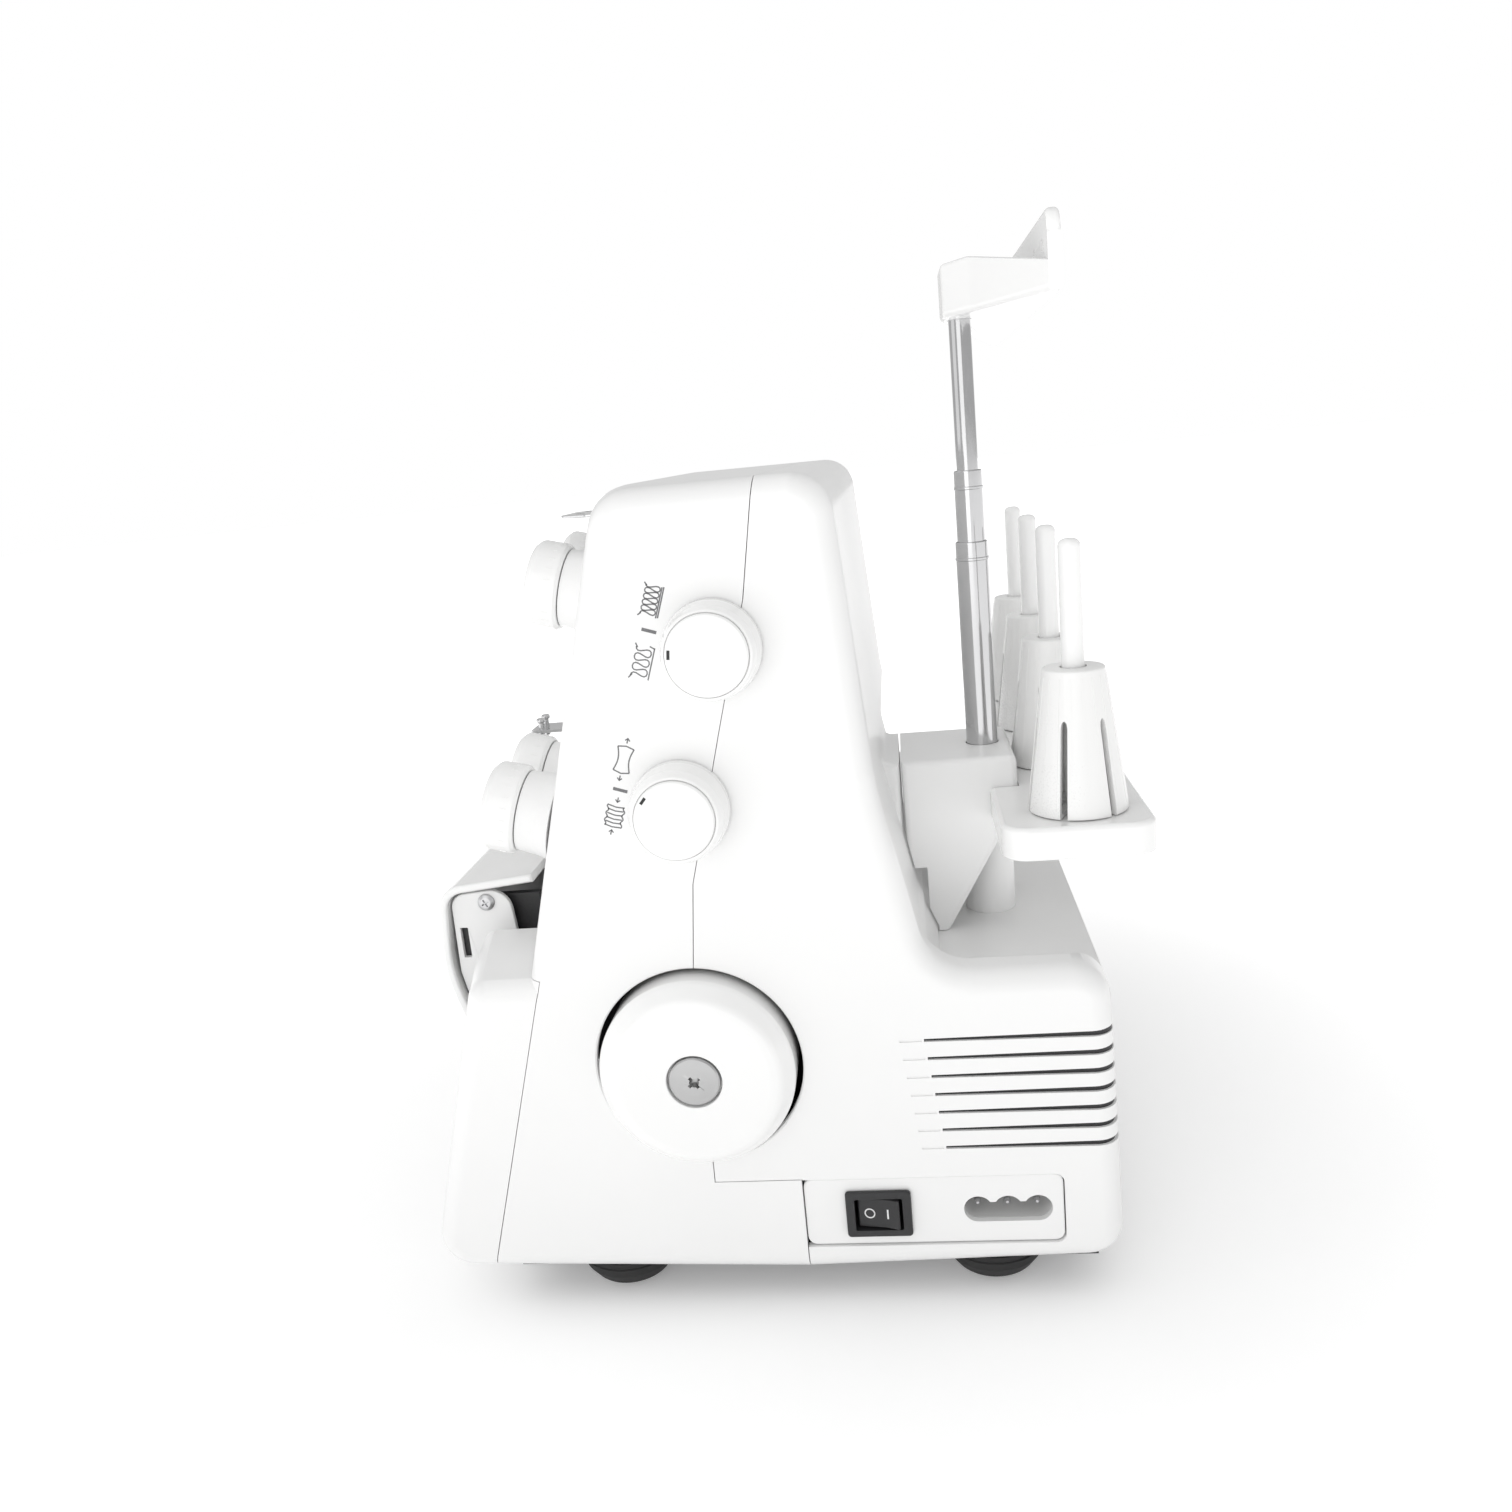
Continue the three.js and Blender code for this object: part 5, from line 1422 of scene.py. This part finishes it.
# ---------------------------------------------------------------- thread stand
@dataclass
class ThreadStand:
    """Bracket, rail, spool pins, cone holders, telescopic pole and thread tree."""

    bench: Bench
    rail_x: tuple[float, float] = (-110.5, 132.5)
    rail_y: tuple[float, float] = (89.0, 141.0)
    rail_z: tuple[float, float] = (165.5, 177.0)
    pins: tuple[float, ...] = (-89.0, -22.5, 44.0, 110.5)
    pin_r: float = 4.1
    pin_top: float = 270.6
    cone: tuple[float, float, float] = (17.2, 10.6, 50.0)
    slot_turn: float = math.radians(-24)
    tubes: tuple[float, float, float] = (6.1, 5.25, 4.0)
    step_z: tuple[float, float] = (267.5, 294.0)
    tree_x: tuple[float, float] = (-118.5, 121.5)
    boss_x: tuple[float, float] = (40.0, 63.0)
    tree_y: tuple[float, float, float] = (82.0, 112.4, 116.8)
    tree_z: tuple[float, float, float] = (348.0, 366.5, 373.0)

    def bracket(self, outer: Solid) -> Solid:
        """The folded bracket that holds rail and pole."""
        x0, x1 = SHELF_X
        y0, y1, z = SHELF_Y[0] + GAP, SHELF_Y[1], SHELF_Z
        side = prism(outline([(y0, z), (y0, 124), (61, 118.4), (69.5, 117.6, 1.5), (98.6, 168, 2),
                              (y1, 172), (y1, z, 3)], 6),
                     x0, x1, round_low=2.4, round_high=2.4)
        pocket = block(x0 + WALL, x1 - WALL, 20, y1 + 5, 100, z - 4)
        notch = block(x0 - 1, x1 + 1, y0 - 1, y0 + 7.4, 100, 146.5)
        shell = side - pocket - notch - outer.moved(0, 2 * GAP, GAP)
        socket = turned([(0, 0), (10, 0, 1.2), (10, z - 120), (0, z - 120)], (POLE_X, POLE_Y, 119.4),
                        (0, 0, 1), 64)
        web = block(POLE_X - 2, POLE_X + 2, y0, POLE_Y - 6, 160, z - 3)
        return (shell + web + socket) - bar(self.tubes[0] + GAP, (POLE_X, POLE_Y, 126), (0, 0, 1), 100)

    def rail(self) -> Solid:
        """The long tray that carries the pins."""
        (x0, x1), (y0, y1), (z0, z1) = self.rail_x, self.rail_y, self.rail_z

        def plan(by: float) -> list[Vector]:
            """Gives the plate's outline, drawn in by a step."""
            return outline([(x0 + by, y0 + by, 9), (x1 - by, y0 + by, 9), (x1 - by, y1 - by, 9),
                            (x0 + by, y1 - by, 9)], 10)

        def notch(by: float) -> Solid:
            """Gives the gap for the bracket, widened by a step."""
            return block(SHELF_X[0] - GAP - by, SHELF_X[1] + GAP + by, 80, SHELF_Y[1] + GAP + by, 150,
                         200)

        slab = prism(plan(0), z0, z1, on_plan, 0.8, 1.9) - notch(0)
        return slab - (prism(plan(WALL), z0 - 2, z1 - WALL, on_plan) - notch(WALL))

    def pin(self, x: float) -> Solid:
        """One spool pin with a collar and a round tip."""
        tip, r = self.pin_top - self.rail_z[1] - GAP, self.pin_r
        return turned([(0, 0), (5.4, 0), (5.4, 1, 0.4), (r, 1.4), (r - 0.3, tip, 2.6), (0, tip)],
                      (x, PIN_Y, self.rail_z[1] + GAP), (0, 0, 1), 48, 8)

    def holder(self, x: float) -> Solid:
        """One cone holder: a hollow cone with six tall slots, open at the foot."""
        base, top, height = self.cone
        z = self.rail_z[1] + GAP
        bore = self.pin_r + 2.1
        shell = turned([(bore, 0), (base, 0, 0.5), (base - 0.15, 2), (top, height, 0.9),
                        (self.pin_r + 0.5, height),
                        (self.pin_r + 0.5, height - 2.4), (top - 2, height - 2.4), (base - 2.4, 1.4),
                        (bore, 1.4), (bore, 0)],
                       (x, PIN_Y, z), (0, 0, 1), 96)
        for i in range(6):
            angle = self.slot_turn + math.radians(60 * i)
            out, side = Vector((math.cos(angle), math.sin(angle))), Vector((-math.sin(angle),
                                                                            math.cos(angle)))
            rings = []
            for level, half in ((-1, 1.3), (height - 19, 1.15), (height - 17.4, 0.85),
                                (height - 16.6, 0.25)):
                corners = [out * 6.6 - side * half, out * 21 - side * half, out * 21 + side * half,
                           out * 6.6 + side * half]
                rings.append([on_plan(c + Vector((x, PIN_Y)), z + level) for c in corners])
            shell = shell - Solid.skin(rings)
        return shell

    def ribs(self, x: float) -> bpy.types.Mesh:
        """Fine raised ribs down the cone's side, three between each pair of slots."""
        base, top, height = self.cone
        lean = math.atan((base - top) / height)
        bars = ring_of_bars(18, (base + top) / 2 - 0.15, (0.6, 0.7, height - 5), lean,
                            self.bench.finishes.cone)
        bars.transform(Matrix.Translation((x, PIN_Y, self.rail_z[1] + GAP + height / 2))
                       @ Matrix.Rotation(self.slot_turn + math.radians(10), 4, "Z"))
        return bars

    def tube(self, r: float, wall: float, z0: float, z1: float) -> Solid:
        """One drawn tube with a rolled top edge."""
        inner = r - wall
        return turned([(inner, 0), (r, 0), (r, z1 - z0 - 0.4), (r - 0.25, z1 - z0), (inner, z1 - z0),
                       (inner, 0)],
                      (POLE_X, POLE_Y, z0), (0, 0, 1), 64)

    def tree(self) -> Solid:
        """The thread tree: boss, oblique arms, rear bar."""
        (x0, x1), (b0, b1) = self.tree_x, self.boss_x
        y0, bar_y, y1 = self.tree_y
        z0, z1, bar_z = self.tree_z
        shape = anticlockwise(outline([(x0, y1), (x0, bar_y), (b0, y0, 6), (b1, y0, 6),
                                       (b1 + 16, y0 + 9, 20), (x1, bar_y), (x1, y1)], 10))
        tray = prism(shape, z0, z1, on_plan, 2.4, 1.6) - prism(inset(shape, 2.4), z0 + 2.4, z1 + 5,
                                                               on_plan)
        for end, start in ((x0 - 1, b0 - 12), (x1 + 1, b1 + 12)):
            slope = [(start, z1 + 1), (start, z1), (end, z1 - 9.5), (end, z1 + 1)]
            tray = tray - prism([Vector(c) for c in slope], y0 - 5, bar_y, on_front)
        back = prism(outline([(x0, z0, 5), (x1, z0, 5), (x1, bar_z, 6), (x0, bar_z, 6)], 8), bar_y, y1,
                     on_front, 1.6, 1.6)
        boss = bar(7.4, (POLE_X, POLE_Y + 1.4, z0), (0, 0, 1), z1 - z0 - 1.4)
        tree = tray + back + boss
        for x in (-100, -60, -20, 20, 84, 108):
            tree = tree - bar(2, (x, bar_y - 0.4, z0 + 15), (0, 1, 0), 20, 24)
        return tree - bar(self.tubes[2] + GAP, (POLE_X, POLE_Y, z0 - 5), (0, 0, 1), z1 - 3.6 - z0 + 5)

    def build(self, outer: Solid) -> None:
        """Builds the whole stand.

        Args:
            outer: The housings' outer body, which the bracket's foot follows.
        """
        bench, f, machine = self.bench, self.bench.finishes, Body.MACHINE.value
        bench.place(self.bracket(outer), "rail_bracket", machine, Slot.WHITE, f.shell, ["stand_bracket"],
                    edge=0.3)
        bench.place(self.rail(), "spool_rail", machine, Slot.WHITE, f.gloss, ["spool_stand"], edge=0.5)
        for i, x in enumerate(self.pins, 1):
            bench.place(self.pin(x), f"pin_{i}", machine, Slot.WHITE, f.gloss, [f"spool_pin_{i}"])
            bench.place(self.holder(x), f"thread_cone_holder_{i}", f"cone_{i}", Slot.WHITE, f.cone,
                        [f"cone_holder_{i}"], edge=0.18)
            bench.place(self.ribs(x), f"thread_cone_ribs_{i}", f"cone_{i}", Slot.WHITE, f.cone)
        self.dress()

    def dress(self) -> None:
        """Builds the chrome pole and the tree in its gloss white."""
        bench, f = self.bench, self.bench.finishes
        top = self.tree_z[1] - 4
        rows = (("lower", Body.MACHINE, self.tubes[0], 0.5, 126.4, self.step_z[0]),
                ("middle", Body.POLE_MIDDLE, self.tubes[1], 0.5, 156.0, self.step_z[1]),
                ("upper", Body.POLE_UPPER, self.tubes[2], 0.7, 210.0, top))
        for name, body, r, wall, z0, z1 in rows:
            bench.place(self.tube(r, wall, z0, z1), f"{name}_pole", body.value, Slot.CHROME, f.chrome,
                        [f"pole_{name}_tube"])
        for name, body, r, z in (("lower", Body.MACHINE, self.tubes[0], self.step_z[0]),
                                 ("middle", Body.POLE_MIDDLE, self.tubes[1], self.step_z[1])):
            bead = turned([(r - 0.1, -7.2), (r + 0.28, -6.9, 0.2), (r + 0.28, -6.1, 0.2), (r - 0.1, -5.8),
                           (r - 0.1, -7.2)],
                          (POLE_X, POLE_Y, z), (0, 0, 1), 64)
            bench.place(bead, f"{name}_pole_bead", body.value, Slot.CHROME, f.chrome)
        bench.place(self.tree(), "thread_tree_arms", Body.TREE.value, Slot.WHITE, f.gloss,
                    ["thread_tree"], edge=0.35)


# ---------------------------------------------------------------- sewing parts
@dataclass
class SewingParts:
    """Needles, plates, loopers, knives and guides, which keep their shapes."""

    bench: Bench
    ground: tuple[str, ...] = ("cloth_plate", "needle_plate")
    steel: tuple[str, ...] = ("motor_pulley", "feed_dog", "lower_knife", "upper_knife", "presser_bar",
                              "needle_bar",
                              "needle_clamp", "left_needle", "right_needle")
    chrome: tuple[str, ...] = ("lower_looper", "upper_looper", "presser_foot")
    casting: tuple[str, ...] = ("motor", "inner_frame")

    def build(self) -> None:
        """Builds the two chromed thread guides on the front."""
        bench, f = self.bench, self.bench.finishes
        y = front_y(20, 291) - 0.5
        plate = prism(outline([(0, y), (0, y - 8, 4), (8, y - 20, 5), (36, y - 20, 5), (44.5, y - 8, 4),
                               (44.5, y)], 8),
                      289.4, 290.6, on_plan, 0.35, 0.35)
        for x in (14, 30):
            plate = plate - bar(2, (x, y - 13, 280), (0, 0, 1), 20)
        bench.place(plate, "upper_guide_plate", Body.MACHINE.value, Slot.CHROME, f.chrome,
                    ["top_thread_guide"],
                    edge=0.15)
        y = front_y(18, 199) - 0.6
        guide = block(10, 24, y - 24, y, 199, 200.4)
        for x in (13, 21):
            guide = guide + turned([(0, 0), (1.2, 0), (1.2, 7), (1.9, 7.4, 0.4), (1.9, 9, 0.8), (0, 9)],
                                   (x, y - 20, 196),
                                   (0, 0, 1), 32)
        bench.place(guide, "lower_guide_posts", Body.MACHINE.value, Slot.CHROME, f.chrome,
                    ["looper_thread_guide"],
                    edge=0.15)
        self.dress()

    def dress(self) -> None:
        """Refinishes the sewing parts that keep their shapes."""
        f = self.bench.finishes
        for group, material in ((self.ground, f.plate), (self.steel, f.steel), (self.chrome, f.chrome),
                                (self.casting, f.casting), (("drive_belt",), f.rubber),
                                (("presser_lever",), f.gloss)):
            for node in group:
                self.bench.refinish(node, material)


# ---------------------------------------------------------------- studio
@dataclass
class Studio:
    """Camera, soft lights and a pale glowing floor with a painted shadow round the machine."""

    azimuth: float = math.radians(97.2)
    pitch: float = math.radians(13.57)
    roll: float = math.radians(5.6)
    lens: float = 29.95
    place: tuple[float, float, float] = (0.54263, 0.06012, 0.30853)
    floor_grey: float = 0.90
    # floor glow near the machine and far out; the dim near value paints a shadow round the machine
    floor_glow_and_painted_shadow: tuple[float, float] = (0.20, 0.70)
    sky_light: float = 0.63

    def camera(self) -> None:
        """Places the camera at the three-quarter side view, slightly rolled."""
        a, e, r = self.azimuth, self.pitch, self.roll
        back = Vector((math.sin(a) * math.cos(e), -math.cos(a) * math.cos(e), math.sin(e)))
        right = (-back).cross(Vector((0, 0, 1))).normalized()
        up = right.cross(-back)
        side = right * math.cos(r) - up * math.sin(r)
        top = right * math.sin(r) + up * math.cos(r)
        lens = bpy.data.cameras.new("camera")
        lens.sensor_width, lens.lens = 36.0, self.lens
        lens.clip_start, lens.clip_end = 0.01, 50.0
        camera = bpy.data.objects.new("camera", lens)
        camera.matrix_world = Matrix.Translation(self.place) @ Matrix((side, top,
                                                                       back)).transposed().to_4x4()
        bpy.context.scene.collection.objects.link(camera)
        bpy.context.scene.camera = camera

    @staticmethod
    def area(name: str, at: Sequence[float], to: Sequence[float], size: float, power: float) -> None:
        """Adds one soft square light.

        Args:
            name: Name of the light.
            at: Where it is, in metres.
            to: What it points at.
            size: Side of the square in metres.
            power: Its power in watts.
        """
        data = bpy.data.lights.new(name, "AREA")
        data.shape, data.size, data.energy = "SQUARE", size, power
        light = bpy.data.objects.new(name, data)
        light.location = at
        light.rotation_euler = (Vector(to) - Vector(at)).to_track_quat("-Z", "Y").to_euler()
        bpy.context.scene.collection.objects.link(light)

    def floor(self) -> None:
        """A wide pale floor that meets the soles of the feet; it glows, and glows less near the machine,
        which paints a soft shadow round it.
        """
        build = bmesh.new()
        bmesh.ops.create_circle(build, cap_ends=True, segments=96, radius=14.0)
        mesh = bpy.data.meshes.new("floor")
        build.to_mesh(mesh)
        build.free()
        sheet = Sheet("pale_floor_painted_shadow")
        cloud = sheet.noise(1.5, 2.0)
        reach = sheet.node("ShaderNodeVectorMath", {"operation": "LENGTH"}, {0: sheet.place}, "Value")
        # glow fades from the far value to the dim near value towards the machine: a painted shadow halo
        far = sheet.node("ShaderNodeMapRange", {"interpolation_type": "SMOOTHSTEP"},
                         {"Value": reach, "From Min": 0.10, "From Max": 0.62})
        painted_shadow_glow, open_floor_glow = self.floor_glow_and_painted_shadow
        grey = self.floor_grey
        mesh.materials.append(sheet.dress(
            Base_Color=sheet.blend(cloud, (grey, grey, grey), (grey + 0.01,) * 3), Roughness=0.9,
            Emission_Color=sheet.blend(far, (painted_shadow_glow,) * 3, (open_floor_glow,) * 3), Emission_Strength=1.0))
        ground = bpy.data.objects.new("floor", mesh)
        bpy.context.scene.collection.objects.link(ground)

    def build(self) -> None:
        """Sets up camera, lights, world and floor."""
        self.camera()
        self.floor()
        middle = (0.0, 0.0, 0.17)
        self.area("key_side", (2.2, -0.7, 0.9), middle, 1.8, 9.5)
        self.area("fill_front", (0.4, -2.2, 0.8), middle, 1.8, 5)
        self.area("top_soft", (0.5, -0.4, 2.2), middle, 2.0, 5)
        world = bpy.data.worlds.new("studio")
        world.use_nodes = True
        tree = world.node_tree
        path = tree.nodes.new("ShaderNodeLightPath")
        strength = tree.nodes.new("ShaderNodeMapRange")
        strength.inputs["To Min"].default_value = self.sky_light
        strength.inputs["To Max"].default_value = 1.0
        tree.links.new(path.outputs["Is Camera Ray"], strength.inputs["Value"])
        background = tree.nodes["Background"]
        background.inputs["Color"].default_value = (1, 1, 1, 1)
        tree.links.new(strength.outputs["Result"], background.inputs["Strength"])
        bpy.context.scene.world = world
        bpy.context.scene.view_settings.view_transform = "Standard"


def main() -> None:
    """Builds the machine piece by piece, then the studio round it."""
    logging.basicConfig(level=logging.INFO, format="%(name)s %(message)s")
    studio = Studio()
    studio.build()
    bench = Bench(Finishes())
    housings = Housings(bench)
    housings.build()
    for part in (Base(bench), PowerSide(bench), SideControls(bench), Handwheel(bench),
                 TensionDials(bench), LooperBay(bench), SideTable(bench), SewingParts(bench)):
        part.build()
    ThreadStand(bench).build(housings.outer)


if __name__ == "__main__":
    main()
